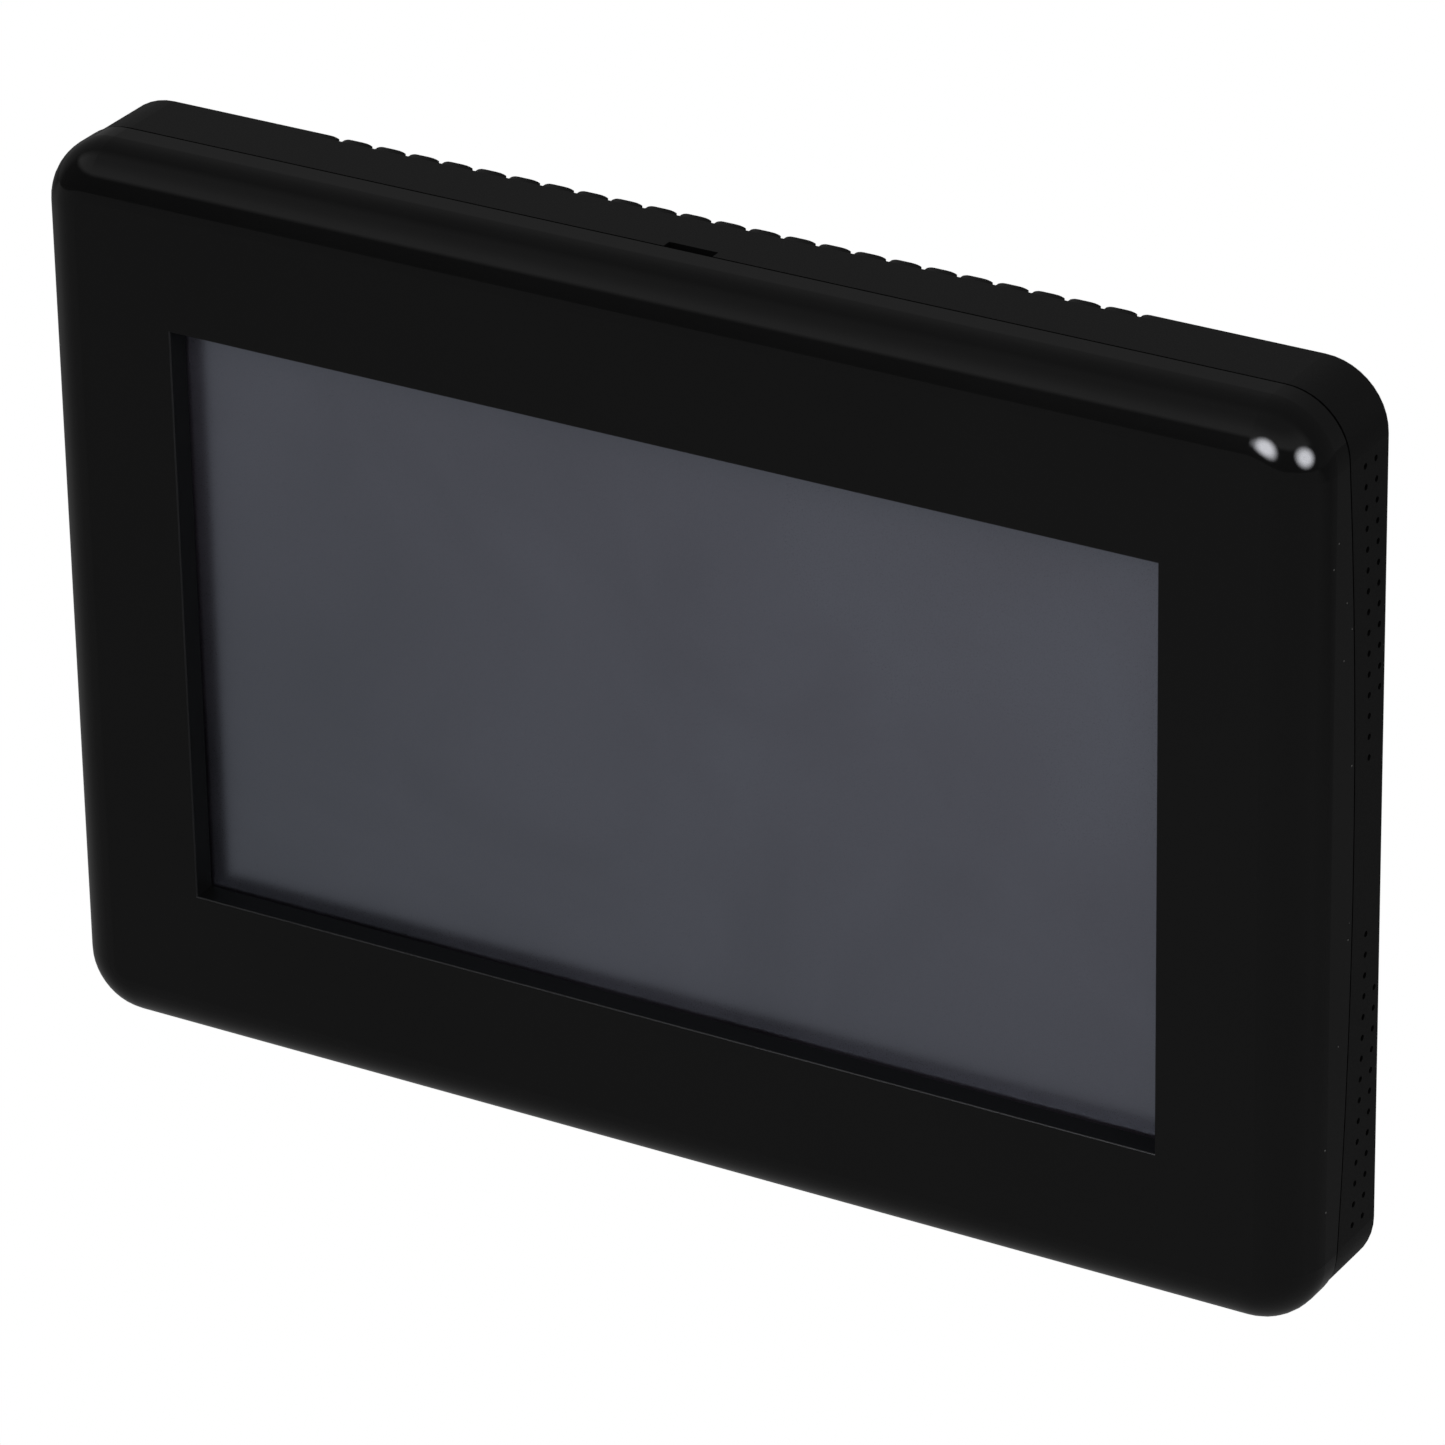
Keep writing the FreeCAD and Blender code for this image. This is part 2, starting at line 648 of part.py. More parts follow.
def add_case_ribs(body):
    """Low stiffening ribs on the floor of the case."""
    ribs = new_sketch(body, "floor_ribs", "XZ_Plane", "sizes.wall - 0.5")
    for x in ("-78", "-50", "50", "78"):
        rectangle_loop(ribs, "(%s) - 0.6" % x, "(%s) + 0.6" % x, "-50", "-44.5")
        rectangle_loop(ribs, "(%s) - 0.6" % x, "(%s) + 0.6" % x, "-32", "32")
    for z in ("-33.5", "33.5"):
        rectangle_loop(ribs, "-80", "-34", "(%s) - 0.6" % z, "(%s) + 0.6" % z)
        rectangle_loop(ribs, "34", "80", "(%s) - 0.6" % z, "(%s) + 0.6" % z)
    pad(body, ribs, "1.6")


def make_hinge_pins():
    """Two steel pins, pressed into the ears of the rear case."""
    length = "sizes.knuckle_length + 2 * sizes.ear_length + 0.6"
    pins = []
    for name, station in (("right", "sizes.hinge_station"), ("left", "-sizes.hinge_station")):
        x = "%s - (%s) / 2" % (station, length)
        pins.append(cylinder("pin_" + name, "sizes.pin_radius", length, x,
                             "-(%s)" % SEAM, HINGE_Z, ALONG_X))
    return group("hinge_pins", pins)


# --------------------------------------------------------------------------
# Release latch behind the pry notch
# --------------------------------------------------------------------------
LATCH_FRONT = "%s - 0.3" % SEAM
LATCH_SHOULDER = "sizes.height / 2 - sizes.case_inner_inset - 0.15"


def make_release_latch():
    """A slider whose tongue shows in the notch and whose nose retains the bezel."""
    body = new_body("release_latch")
    front = new_sketch(body, "latch_front", "XZ_Plane", "%s - 1" % LATCH_FRONT)
    points = [
        ("-6", "%s - 6" % LATCH_SHOULDER),
        ("6", "%s - 6" % LATCH_SHOULDER),
        ("6", LATCH_SHOULDER),
        ("3.4", LATCH_SHOULDER),
        ("3.4", "%s + 1.4" % LATCH_SHOULDER),
        ("-3.4", "%s + 1.4" % LATCH_SHOULDER),
        ("-3.4", LATCH_SHOULDER),
        ("-6", LATCH_SHOULDER),
    ]
    profile_loop(front, points)
    pad(body, front, "1")
    back = new_sketch(body, "latch_back", "XZ_Plane", "%s - 2.6" % LATCH_FRONT)
    rectangle_loop(back, "-6", "6", "%s - 6" % LATCH_SHOULDER, "%s - 0.2" % LATCH_SHOULDER)
    pad(body, back, "1.8")
    nose = new_sketch(body, "latch_nose", "XZ_Plane", LATCH_FRONT)
    rectangle_loop(nose, "-3", "3", "%s - 3.2" % LATCH_SHOULDER, "%s - 1.8" % LATCH_SHOULDER)
    pad(body, nose, "2.2")
    return body


def make_latch_guide():
    """Two rails and a spring shelf, clipped to the floor of the rear case."""
    body = new_body("latch_guide")
    reach = "%s - sizes.wall - 0.2" % LATCH_FRONT
    outline = new_sketch(body, "guide_rails", "XZ_Plane", "sizes.wall")
    low = "%s - 13" % LATCH_SHOULDER
    points = [
        ("-8", low),
        ("8", low),
        ("8", "%s - 0.6" % LATCH_SHOULDER),
        ("6.3", "%s - 0.6" % LATCH_SHOULDER),
        ("6.3", "%s + 1.5" % low),
        ("-6.3", "%s + 1.5" % low),
        ("-6.3", "%s - 0.6" % LATCH_SHOULDER),
        ("-8", "%s - 0.6" % LATCH_SHOULDER),
    ]
    profile_loop(outline, points)
    pad(body, outline, reach)
    return body


def make_latch_spring():
    """A compression spring between the shelf and the slider, drawn as a helix of wire."""
    coil_radius = 1.1
    wire_radius = 0.2
    base_z = value("%s - 11.5" % LATCH_SHOULDER) + wire_radius
    top_z = value("%s - 6" % LATCH_SHOULDER) - wire_radius
    pitch = (top_z - base_z) / 6
    helix = Part.makeHelix(pitch, top_z - base_z, coil_radius)
    start = Vector(coil_radius, 0, 0)
    ring = Part.Wire([Part.makeCircle(wire_radius, start, Vector(0, 1, 0.15))])
    coil = Part.Wire(helix.Edges).makePipeShell([ring], True, True)
    spring = doc.addObject("Part::Feature", "latch_spring")
    spring.Label = "latch_spring"
    spring.Shape = coil
    centre_y = -value("%s - 1.8" % LATCH_FRONT)
    spring.Placement = FreeCAD.Placement(Vector(0, centre_y, base_z), UPWARD)
    return spring


# --------------------------------------------------------------------------
# Front bezel
# --------------------------------------------------------------------------
def make_front_bezel():
    body = new_body("front_bezel")
    start = "sizes.wall + 5"
    outline = new_sketch(body, "bezel_outline", "XZ_Plane", start)
    rounded_loop(outline, "sizes.width", "sizes.height", "sizes.corner_radius")
    block = pad(body, outline, "sizes.depth - (%s)" % start)
    front_y = -value("sizes.depth")
    front_edges = edges_where(block.Shape, lambda p: near(p.y, front_y))
    dress(body, "Fillet", block, front_edges, "sizes.front_edge_radius")

    cavity = new_sketch(body, "bezel_cavity", "XZ_Plane", start)
    rounded_loop(cavity, "sizes.width - 2 * sizes.wall", "sizes.height - 2 * sizes.wall",
                 "sizes.corner_radius - sizes.wall")
    cheek = "sizes.depth - sizes.cheek_depth"
    pocket(body, cavity, "(%s) - (%s)" % (cheek, start), reverse=True)
    recess = new_sketch(body, "bezel_recess", "XZ_Plane", "%s - 0.1" % cheek)
    rounded_loop(recess, "sizes.width - 2 * sizes.wall - 2 * sizes.cheek_inset",
                 "sizes.height - 2 * sizes.wall - 2 * sizes.cheek_inset",
                 "sizes.corner_radius - sizes.wall - sizes.cheek_inset")
    pocket(body, recess, "sizes.cheek_depth - sizes.face_thickness + 0.1", reverse=True)

    skirt = new_sketch(body, "window_skirt", "XZ_Plane", SKIRT_BACK)
    rounded_loop(skirt, "sizes.touch_width", "sizes.touch_height", "1")
    pad(body, skirt, "sizes.skirt_thickness + 0.2")
    window = new_sketch(body, "display_window", "XZ_Plane", "sizes.depth + 1")
    rectangle_loop(window, "-sizes.window_width / 2", "sizes.window_width / 2",
                   "-sizes.window_height / 2", "sizes.window_height / 2")
    opening = pocket(body, window, "sizes.face_thickness + sizes.skirt_thickness + 2")
    half_w = value("sizes.window_width / 2")
    half_h = value("sizes.window_height / 2")

    def on_lip(p):
        inside = abs(p.x) < half_w + 0.05 and abs(p.z) < half_h + 0.05
        return near(p.y, front_y) and inside
    dress(body, "Fillet", opening, edges_where(opening.Shape, on_lip), "sizes.lip_radius")

    cut_seam_side(body, "bezel_seam", keep_front=True)
    add_bosses(body)
    add_bezel_hinge(body)
    add_catch(body)
    return body


def boss_places():
    places = []
    for sx in (1, -1):
        for level in (1, 0, -1):
            places.append(("%d * sizes.boss_x" % sx, "%d * sizes.boss_z" % level))
    return places


def add_bosses(body):
    """Six posts for the circuit board, with pilot holes for its screws."""
    bosses = new_sketch(body, "board_bosses", "XZ_Plane", BOARD_FRONT)
    for x, z in boss_places():
        circle_loop(bosses, "sizes.boss_radius", x, z)
    pad(body, bosses, "(%s) - (%s) + 0.3" % (FACE_BACK, BOARD_FRONT))
    pilots = new_sketch(body, "boss_pilots", "XZ_Plane", BOARD_FRONT)
    for x, z in boss_places():
        circle_loop(pilots, "sizes.screw_radius", x, z)
    pocket(body, pilots, "7", reverse=True)


def add_bezel_hinge(body):
    """Clear the ears of the rear case, then add a knuckle at each hinge station."""
    gap = "sizes.knuckle_length / 2 + 0.1"
    ear_room = "sizes.ear_length + 0.5"
    for name, station in (("right", "sizes.hinge_station"), ("left", "-sizes.hinge_station")):
        for side, start in (("outer", "%s + %s" % (station, gap)),
                            ("inner", "%s - (%s) - (%s)" % (station, gap, ear_room))):
            room = new_sketch(body, "ear_room_%s_%s" % (name, side), "YZ_Plane", start)
            circle_loop(room, "sizes.relief_radius", "-(%s)" % SEAM, HINGE_Z)
            pocket(body, room, ear_room, reverse=True)
        low = "%s - sizes.knuckle_length / 2" % station
        knuckle = new_sketch(body, "knuckle_" + name, "YZ_Plane", low)
        ear_profile(knuckle, reach="-2.2")
        pad(body, knuckle, "sizes.knuckle_length")
        bore = new_sketch(body, "knuckle_bore_" + name, "YZ_Plane", "%s - 0.5" % low)
        circle_loop(bore, "sizes.pin_radius + sizes.pin_clearance", "-(%s)" % SEAM, HINGE_Z)
        pocket(body, bore, "sizes.knuckle_length + 1", reverse=True)


def add_catch(body):
    """The tab over the latch's nose, moulded under the top wall of the bezel."""
    catch = new_sketch(body, "latch_catch", "XZ_Plane", "%s + 0.9" % LATCH_FRONT)
    rectangle_loop(catch, "-3.4", "3.4", "%s - 1.4" % LATCH_SHOULDER, "sizes.height / 2 - 1")
    pad(body, catch, "1.6")


# --------------------------------------------------------------------------
# Display stack
# --------------------------------------------------------------------------
def make_window_gasket():
    body = new_body("window_gasket")
    ring = new_sketch(body, "gasket_ring", "XZ_Plane", GASKET_BACK)
    rounded_loop(ring, "sizes.touch_width", "sizes.touch_height", "1")
    rectangle_loop(ring, "-sizes.window_width / 2 - 0.6", "sizes.window_width / 2 + 0.6",
                   "-sizes.window_height / 2 - 0.6", "sizes.window_height / 2 + 0.6")
    pad(body, ring, "sizes.gasket_thickness")
    return body


def make_touch_panel():
    body = new_body("touch_panel")
    sheet_outline = new_sketch(body, "touch_outline", "XZ_Plane", TOUCH_BACK)
    rounded_loop(sheet_outline, "sizes.touch_width", "sizes.touch_height", "0.8")
    pad(body, sheet_outline, "sizes.touch_thickness")
    return body


def make_lcd_frame():
    body = new_body("lcd_frame")
    ring = new_sketch(body, "frame_ring", "XZ_Plane", TRAY_BACK)
    rounded_loop(ring, "sizes.frame_width", "sizes.frame_height", "1.5")
    rectangle_loop(ring, "-sizes.glass_width / 2", "sizes.glass_width / 2",
                   "-sizes.glass_height / 2", "sizes.glass_height / 2")
    pad(body, ring, "(%s) - (%s)" % (TOUCH_BACK, TRAY_BACK))
    return body


def make_display_layers():
    glass = box("lcd_glass", "sizes.glass_width", "sizes.glass_thickness",
                "sizes.glass_height", "0", TOUCH_BACK, "0")
    guide = box("light_guide", "sizes.glass_width", "sizes.guide_thickness",
                "sizes.glass_height", "0", GLASS_BACK, "0")
    tray = box("backlight_tray", "sizes.glass_width", "sizes.tray_thickness",
               "sizes.glass_height", "0", GUIDE_BACK, "0")
    return [glass, guide, tray]


def make_flex(label, width, top_z, bottom_z, centre_x):
    """A thin flexible circuit lying between the display's back and the board."""
    body = new_body(label)
    ribbon = new_sketch(body, label + "_path", "YZ_Plane", "%s - %s / 2" % (centre_x, width))
    back = "-(%s)" % TRAY_BACK
    board = "-(%s)" % BOARD_FRONT
    low = "%s - 0.15" % board
    points = [
        (back, top_z),
        ("%s + 0.2" % back, top_z),
        ("%s + 0.2" % back, "(%s) + 1.2" % bottom_z),
        (low, "%s + 0.2" % bottom_z),
        (low, "%s - 6.4" % bottom_z),
        ("%s - 0.2" % low, "%s - 6.4" % bottom_z),
        ("%s - 0.2" % low, bottom_z),
        (back, "(%s) + 1" % bottom_z),
    ]
    profile_loop(ribbon, points)
    pad(body, ribbon, width)
    return body


# --------------------------------------------------------------------------
# Circuit board and its components
# --------------------------------------------------------------------------
SPEAKER_X = "62"
SPEAKER_Z = "16"
SPEAKER_RADIUS = "13.5"
TERMINAL_X = "0"
TERMINAL_Z = "-40"
TERMINAL_COUNT = 4
TERMINAL_PITCH = "5.08"
TAMPER_X = "-26"
TAMPER_Z = "40"


def make_main_board():
    body = new_body("main_board")
    outline = new_sketch(body, "board_outline", "XZ_Plane", "sizes.board_back")
    rounded_loop(outline, "sizes.board_width", "sizes.board_height", "3")
    for x, z in boss_places():
        circle_loop(outline, "sizes.screw_hole_radius", x, z)
    pad(body, outline, "sizes.board_thickness")
    return body


def make_board_screws():
    screws = []
    for index, (x, z) in enumerate(boss_places(), start=1):
        head = cylinder("head_%d" % index, "sizes.screw_head_radius", "sizes.screw_head_height",
                        x, "-sizes.board_back", z)
        shank = cylinder("shank_%d" % index, "sizes.screw_radius", "7.5",
                         x, "-sizes.board_back", z, TOWARD_FRONT)
        screw = fuse("screw_%d" % index, [head, shank])
        slots = []
        for turn, length, height in (("a", "3", "0.6"), ("b", "0.6", "3")):
            y = "sizes.board_back - sizes.screw_head_height + 0.8"
            slots.append(box("drive_%s_%d" % (turn, index), length, "1.2", height, x, y, z))
        cross = fuse("drive_%d" % index, slots)
        screws.append(cut("board_screw_%d" % index, screw, cross))
    return group("board_screws", screws)


def chip(label, width, height, thickness, x, z):
    return box(label, width, thickness, height, x, "sizes.board_back", z)


def board_box(label, width, height, thickness, x, z, lift="0"):
    return box(label, width, thickness, height, x, "sizes.board_back - (%s)" % lift, z)


def make_components():
    parts = [
        chip("processor", "16", "16", "1.4", "-18", "8"),
        chip("flash_memory", "12", "18", "1.1", "-42", "10"),
        group("memory_chips", [chip("memory_a", "10", "13", "1.1", "2", "16"),
                               chip("memory_b", "10", "13", "1.1", "2", "0")]),
        chip("radio_shield", "24", "18", "2.4", "24", "28"),
        group("regulators", [chip("regulator_%d" % k, "5", "6", "1.6", x, "-26")
                             for k, x in enumerate(("-62", "-52", "-42"))]),
        group("inductors", [chip("inductor_%d" % k, "7", "7", "3.2", x, "-40")
                            for k, x in enumerate(("-64", "-52"))]),
        group("chip_resistors", small_chips("resistor", 10, "1.6", "0.8", "0.5", "-6", "-16", "2.6")),
        group("chip_capacitors", small_chips("bypass", 8, "2", "1.25", "1", "-44", "-10", "3.4")),
        make_crystal(),
        make_electrolytics(),
        make_header(),
        group("ribbon_sockets", [front_box("display_socket", "34", "4.5", "-38", "-44"),
                                 front_box("touch_socket", "12", "4.5", "34", "-44")]),
    ]
    return parts


def front_box(label, width, height, x, z):
    """A socket on the display side of the board, with a mouth that takes the flex."""
    shell = box(label + "_shell", width, "1.9", height, x, "%s + 1.9" % BOARD_FRONT, z)
    mouth = box(label + "_mouth", "%s - 1.6" % width, "0.5", height, x,
                "%s + 0.5" % BOARD_FRONT, "%s + 1.5" % z)
    return cut(label, shell, mouth)


def small_chips(prefix, count, width, height, thickness, x, z, pitch):
    return [chip("%s_%d" % (prefix, k), width, height, thickness, "%s + %d * %s" % (x, k, pitch), z)
            for k in range(count)]


def make_crystal():
    body = new_body("crystal")
    outline = new_sketch(body, "crystal_outline", "XZ_Plane", "sizes.board_back - 3.4")
    rounded_loop(outline, "11", "4.4", "2.1", "-18", "-6")
    pad(body, outline, "3.4")
    return body


def make_electrolytics():
    """Radial capacitors laid on the board with their ends toward the wall."""
    cans = []
    for index, (x, z) in enumerate((("-72", "18"), ("-72", "6"), ("-72", "-6"))):
        cans.append(cylinder("can_%d" % index, "3.15", "5.4", x, "-sizes.board_back", z))
    return group("electrolytics", cans)


def make_header():
    pieces = [board_box("header_body", "15.2", "2.5", "2.5", "36", "-30")]
    for k in range(6):
        x = "36 + (%d - 2.5) * 2.54" % k
        pieces.append(board_box("header_pin_%d" % k, "0.64", "0.64", "5.6", x, "-30"))
    return fuse("service_header", pieces)


def make_terminals():
    """A screw terminal block: one housing, and a screw that turns in each well."""
    pitch = TERMINAL_PITCH
    count = TERMINAL_COUNT
    height = "6.2"
    housing = board_box("terminal_housing", "%d * %s" % (count, pitch), "8.4", height,
                        TERMINAL_X, TERMINAL_Z)
    tools = []
    screws = []
    for k in range(count):
        x = "%s + (%d - %s) * %s" % (TERMINAL_X, k, (count - 1) / 2, pitch)
        tools.append(cylinder("well_%d" % k, "1.75", "5", x, "-sizes.board_back + 2.2",
                              "%s + 1" % TERMINAL_Z))
        mouth = board_box("mouth_%d" % k, "3.2", "5", "2.4", x, "%s - 2.4" % TERMINAL_Z, "1.4")
        tools.append(mouth)
        screws.append(make_terminal_screw(k + 1, x))
    block = cut("terminal_block", housing, fuse("terminal_tools", tools))
    return [block] + screws


def make_terminal_screw(number, x):
    z = "%s + 1" % TERMINAL_Z
    head = cylinder("terminal_head_%d" % number, "1.7", "3.2", x, "-sizes.board_back + 2.5", z)
    slot = box("terminal_slot_%d" % number, "4", "1.2", "0.5", x, "sizes.board_back - 4.9", z)
    return cut("terminal_screw_%d" % number, head, slot)


def make_tamper_switch():
    body_block = board_box("tamper_block", "6.2", "6.2", "4.4", TAMPER_X, TAMPER_Z)
    bore = cylinder("tamper_bore", "1.15", "3.6", TAMPER_X, "-sizes.board_back + 1", TAMPER_Z)
    switch = cut("tamper_switch", body_block, bore)
    cap = doc.addObject("Part::Sphere", "tamper_cap")
    cap.setExpression("Radius", "1.05")
    set_position(cap, TAMPER_X, "-sizes.board_back + 9.1 - 1.05", TAMPER_Z)
    rod = cylinder("tamper_rod", "1.05", "5.35", TAMPER_X, "-sizes.board_back + 2.7", TAMPER_Z)
    plunger = fuse("tamper_plunger", [rod, cap])
    return [switch, plunger]


def revolve_about_y(label, points, x, z):
    """A turned piece about an axis parallel to Y; points are (radius, depth) pairs."""
    body = new_body(label)
    profile = new_sketch(body, label + "_profile", "XY_Plane")
    profile_loop(profile, points)
    turned = body.newObject("PartDesign::Revolution", label + "_turned")
    turned.Profile = profile
    turned.ReferenceAxis = (profile, ["V_Axis"])
    turned.Angle = 2 * HALF_TURN
    set_position(body, x, "0", z)
    return body


def make_speaker():
    """A small speaker on the board, facing the wall: frame, cone and magnet."""
    base = "-sizes.board_back"
    r = SPEAKER_RADIUS
    frame = revolve_about_y("speaker_frame", [
        ("6.6", base),
        ("%s - 2.5" % r, base),
        (r, "%s + 2.4" % base),
        (r, "%s + 4.6" % base),
        ("%s - 1.6" % r, "%s + 4.6" % base),
        ("%s - 1.6" % r, "%s + 2.8" % base),
        ("%s - 3.4" % r, "%s + 0.8" % base),
        ("6.6", "%s + 0.8" % base),
    ], SPEAKER_X, SPEAKER_Z)
    magnet = cylinder("speaker_magnet", "6.5", "1.7", SPEAKER_X, base, SPEAKER_Z)
    cone = revolve_about_y("speaker_cone", [
        ("0", "%s + 2.6" % base),
        ("5", "%s + 2.6" % base),
        ("%s - 2.6" % r, "%s + 4.2" % base),
        ("%s - 2" % r, "%s + 4.2" % base),
        ("%s - 2" % r, "%s + 4.5" % base),
        ("%s - 2.8" % r, "%s + 4.5" % base),
        ("4.8", "%s + 3" % base),
        ("4.4", "%s + 3.6" % base),
        ("0", "%s + 4.4" % base),
    ], SPEAKER_X, SPEAKER_Z)
    return [frame, magnet, cone]


def make_buzzer():
    shell = cylinder("buzzer_shell", "6", "5", "52", "-sizes.board_back", "-20")
    hole = cylinder("buzzer_hole", "1.2", "2", "52", "-sizes.board_back + 4", "-20")
    return cut("buzzer", shell, hole)


# --------------------------------------------------------------------------
# Assembly
# --------------------------------------------------------------------------
subparts = [
    make_rear_case(),
    make_hinge_pins(),
    make_release_latch(),
    make_latch_guide(),
    make_latch_spring(),
    make_front_bezel(),
    make_window_gasket(),
    make_touch_panel(),
    make_lcd_frame(),
    make_main_board(),
    make_board_screws(),
    make_flex("lcd_flex", "30", "-20", "-38", "-38"),
    make_flex("touch_flex", "9", "-28", "-38", "34"),
    make_buzzer(),
]
subparts += make_display_layers()
subparts += make_components()
subparts += make_terminals()
subparts += make_tamper_switch()
subparts += make_speaker()

doc.recompute()

for item in doc.Objects:
    if "Invalid" in item.State or "Error" in item.State:
        raise RuntimeError("%s failed: %s" % (item.Label, item.State))
for item in subparts:
    if item.Shape.isNull() or not item.Shape.isValid():
        raise RuntimeError("%s has no valid shape" % item.Label)

os.makedirs("parts", exist_ok=True)
for item in subparts:
    item.Shape.exportStep("parts/%s.step" % item.Label)
    bounds = item.Shape.BoundBox
    text = (item.Label, len(item.Shape.Solids), item.Shape.Volume)
    print("%-18s solids %2d volume %9.1f mm3" % text,
          "x %.1f..%.1f y %.1f..%.1f z %.1f..%.1f"
          % (bounds.XMin, bounds.XMax, bounds.YMin, bounds.YMax, bounds.ZMin, bounds.ZMax))
print("%d sub-parts" % len(subparts))
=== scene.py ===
# %% [markdown]
# # A wall-mounted alarm keypad panel
# This lesson dresses a finished mechanical model with materials, light and a few
# small pieces.  The model arrives as a fixed frame: every part already sits in its
# real place, in metres, with Z up and the display facing -Y.

import math

import bmesh
import bpy
from mathutils import Matrix, Vector


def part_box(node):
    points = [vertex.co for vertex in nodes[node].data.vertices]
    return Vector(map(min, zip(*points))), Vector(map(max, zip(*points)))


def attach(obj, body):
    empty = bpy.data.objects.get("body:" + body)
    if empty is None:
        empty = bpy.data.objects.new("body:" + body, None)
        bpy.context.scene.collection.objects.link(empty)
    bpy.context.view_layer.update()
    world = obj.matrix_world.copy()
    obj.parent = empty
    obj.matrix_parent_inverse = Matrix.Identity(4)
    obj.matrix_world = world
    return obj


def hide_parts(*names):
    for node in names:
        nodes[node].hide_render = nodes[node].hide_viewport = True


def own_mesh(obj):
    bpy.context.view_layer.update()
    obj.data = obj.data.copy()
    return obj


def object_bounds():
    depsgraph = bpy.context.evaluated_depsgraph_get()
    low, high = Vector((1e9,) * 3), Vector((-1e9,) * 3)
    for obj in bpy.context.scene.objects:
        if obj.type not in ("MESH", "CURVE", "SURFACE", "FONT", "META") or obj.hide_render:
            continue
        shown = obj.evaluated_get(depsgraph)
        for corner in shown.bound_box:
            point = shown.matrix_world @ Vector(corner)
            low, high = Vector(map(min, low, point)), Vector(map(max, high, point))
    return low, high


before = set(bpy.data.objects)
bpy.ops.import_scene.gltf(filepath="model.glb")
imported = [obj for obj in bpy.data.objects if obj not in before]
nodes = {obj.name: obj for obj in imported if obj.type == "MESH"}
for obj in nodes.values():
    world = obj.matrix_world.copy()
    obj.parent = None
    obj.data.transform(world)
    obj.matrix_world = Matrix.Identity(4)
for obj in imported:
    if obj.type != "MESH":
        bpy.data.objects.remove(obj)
cad_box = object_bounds()

# %% [markdown]
# ## The camera
# A keypad is a shallow box, so a long lens from above and to the right shows the face,
# the top edge and one side together with hardly any perspective.

# %% Camera
AZIMUTH = math.radians(31.115)
ELEVATION = math.radians(26.535)
ROLL = math.radians(-1.07)
DISTANCE = 1.1914
LENS_MM = 219.09
AIM = Vector((0.00738, -0.01689, 0.00169))

toward_camera = Vector((
    math.sin(AZIMUTH) * math.cos(ELEVATION),
    -math.cos(AZIMUTH) * math.cos(ELEVATION),
    math.sin(ELEVATION),
))
level_right = Vector((math.cos(AZIMUTH), math.sin(AZIMUTH), 0))
level_up = toward_camera.cross(level_right)
right = level_right * math.cos(ROLL) + level_up * math.sin(ROLL)
up = level_up * math.cos(ROLL) - level_right * math.sin(ROLL)

camera_data = bpy.data.cameras.new("camera")
camera_data.lens = LENS_MM
camera_data.sensor_width = 36
camera_data.clip_start = 0.05
camera = bpy.data.objects.new("camera", camera_data)
bpy.context.collection.objects.link(camera)
turn = Matrix((right, up, toward_camera)).transposed().to_4x4()
camera.matrix_world = Matrix.Translation(AIM + toward_camera * DISTANCE) @ turn
bpy.context.scene.camera = camera
bpy.context.scene.view_settings.view_transform = "Standard"
print("camera at", [round(value, 3) for value in camera.location])

# %% [markdown]
# ## Floor
# The floor is pale and lies well below the panel, which hangs on a wall in use.  Black
# gloss mirrors everything around it, so a studio keeps the surroundings dim and lets
# only the camera see a white sweep.  The floor does the same: it glows for the camera
# and is a matt surface for every other ray, pale in front and darker behind the panel.

# %% Floor
FLOOR_DROP = 0.35
FLOOR_HALF = 6.0
FLOOR_MATT = 0.92
FLOOR_MATT_BEHIND = 0.32
FLOOR_FADE_START = 0.0
FLOOR_FADE_END = 0.6


def new_material(name):
    """A node material with a Principled shader wired to its output."""
    material = bpy.data.materials.new(name)
    material.use_nodes = True
    tree = material.node_tree
    tree.nodes.clear()
    output = tree.nodes.new("ShaderNodeOutputMaterial")
    shader = tree.nodes.new("ShaderNodeBsdfPrincipled")
    tree.links.new(shader.outputs["BSDF"], output.inputs["Surface"])
    return material, tree, shader


def make_floor():
    z = cad_box[0][2] - FLOOR_DROP
    half = FLOOR_HALF
    corners = [(-half, -half, z), (half, -half, z), (half, half, z), (-half, half, z)]
    mesh = bpy.data.meshes.new("floor")
    mesh.from_pydata(corners, [], [(0, 1, 2, 3)])
    floor = bpy.data.objects.new("floor", mesh)
    bpy.context.collection.objects.link(floor)
    material = bpy.data.materials.new("pale_floor")
    material.use_nodes = True
    tree = material.node_tree
    tree.nodes.clear()
    output = tree.nodes.new("ShaderNodeOutputMaterial")
    mix = tree.nodes.new("ShaderNodeMixShader")
    matt = tree.nodes.new("ShaderNodeBsdfDiffuse")
    glow = tree.nodes.new("ShaderNodeEmission")
    ray = tree.nodes.new("ShaderNodeLightPath")
    coords = tree.nodes.new("ShaderNodeTexCoord")
    split = tree.nodes.new("ShaderNodeSeparateXYZ")
    fade = tree.nodes.new("ShaderNodeMapRange")
    fade.inputs["From Min"].default_value = FLOOR_FADE_START
    fade.inputs["From Max"].default_value = FLOOR_FADE_END
    fade.inputs["To Min"].default_value = FLOOR_MATT
    fade.inputs["To Max"].default_value = FLOOR_MATT_BEHIND
    tree.links.new(coords.outputs["Object"], split.inputs["Vector"])
    tree.links.new(split.outputs["Y"], fade.inputs["Value"])
    tree.links.new(fade.outputs["Result"], matt.inputs["Color"])
    tree.links.new(ray.outputs["Is Camera Ray"], mix.inputs["Fac"])
    tree.links.new(matt.outputs["BSDF"], mix.inputs[1])
    tree.links.new(glow.outputs["Emission"], mix.inputs[2])
    tree.links.new(mix.outputs["Shader"], output.inputs["Surface"])
    mesh.materials.append(material)
    print("floor at z =", round(z, 3))


make_floor()

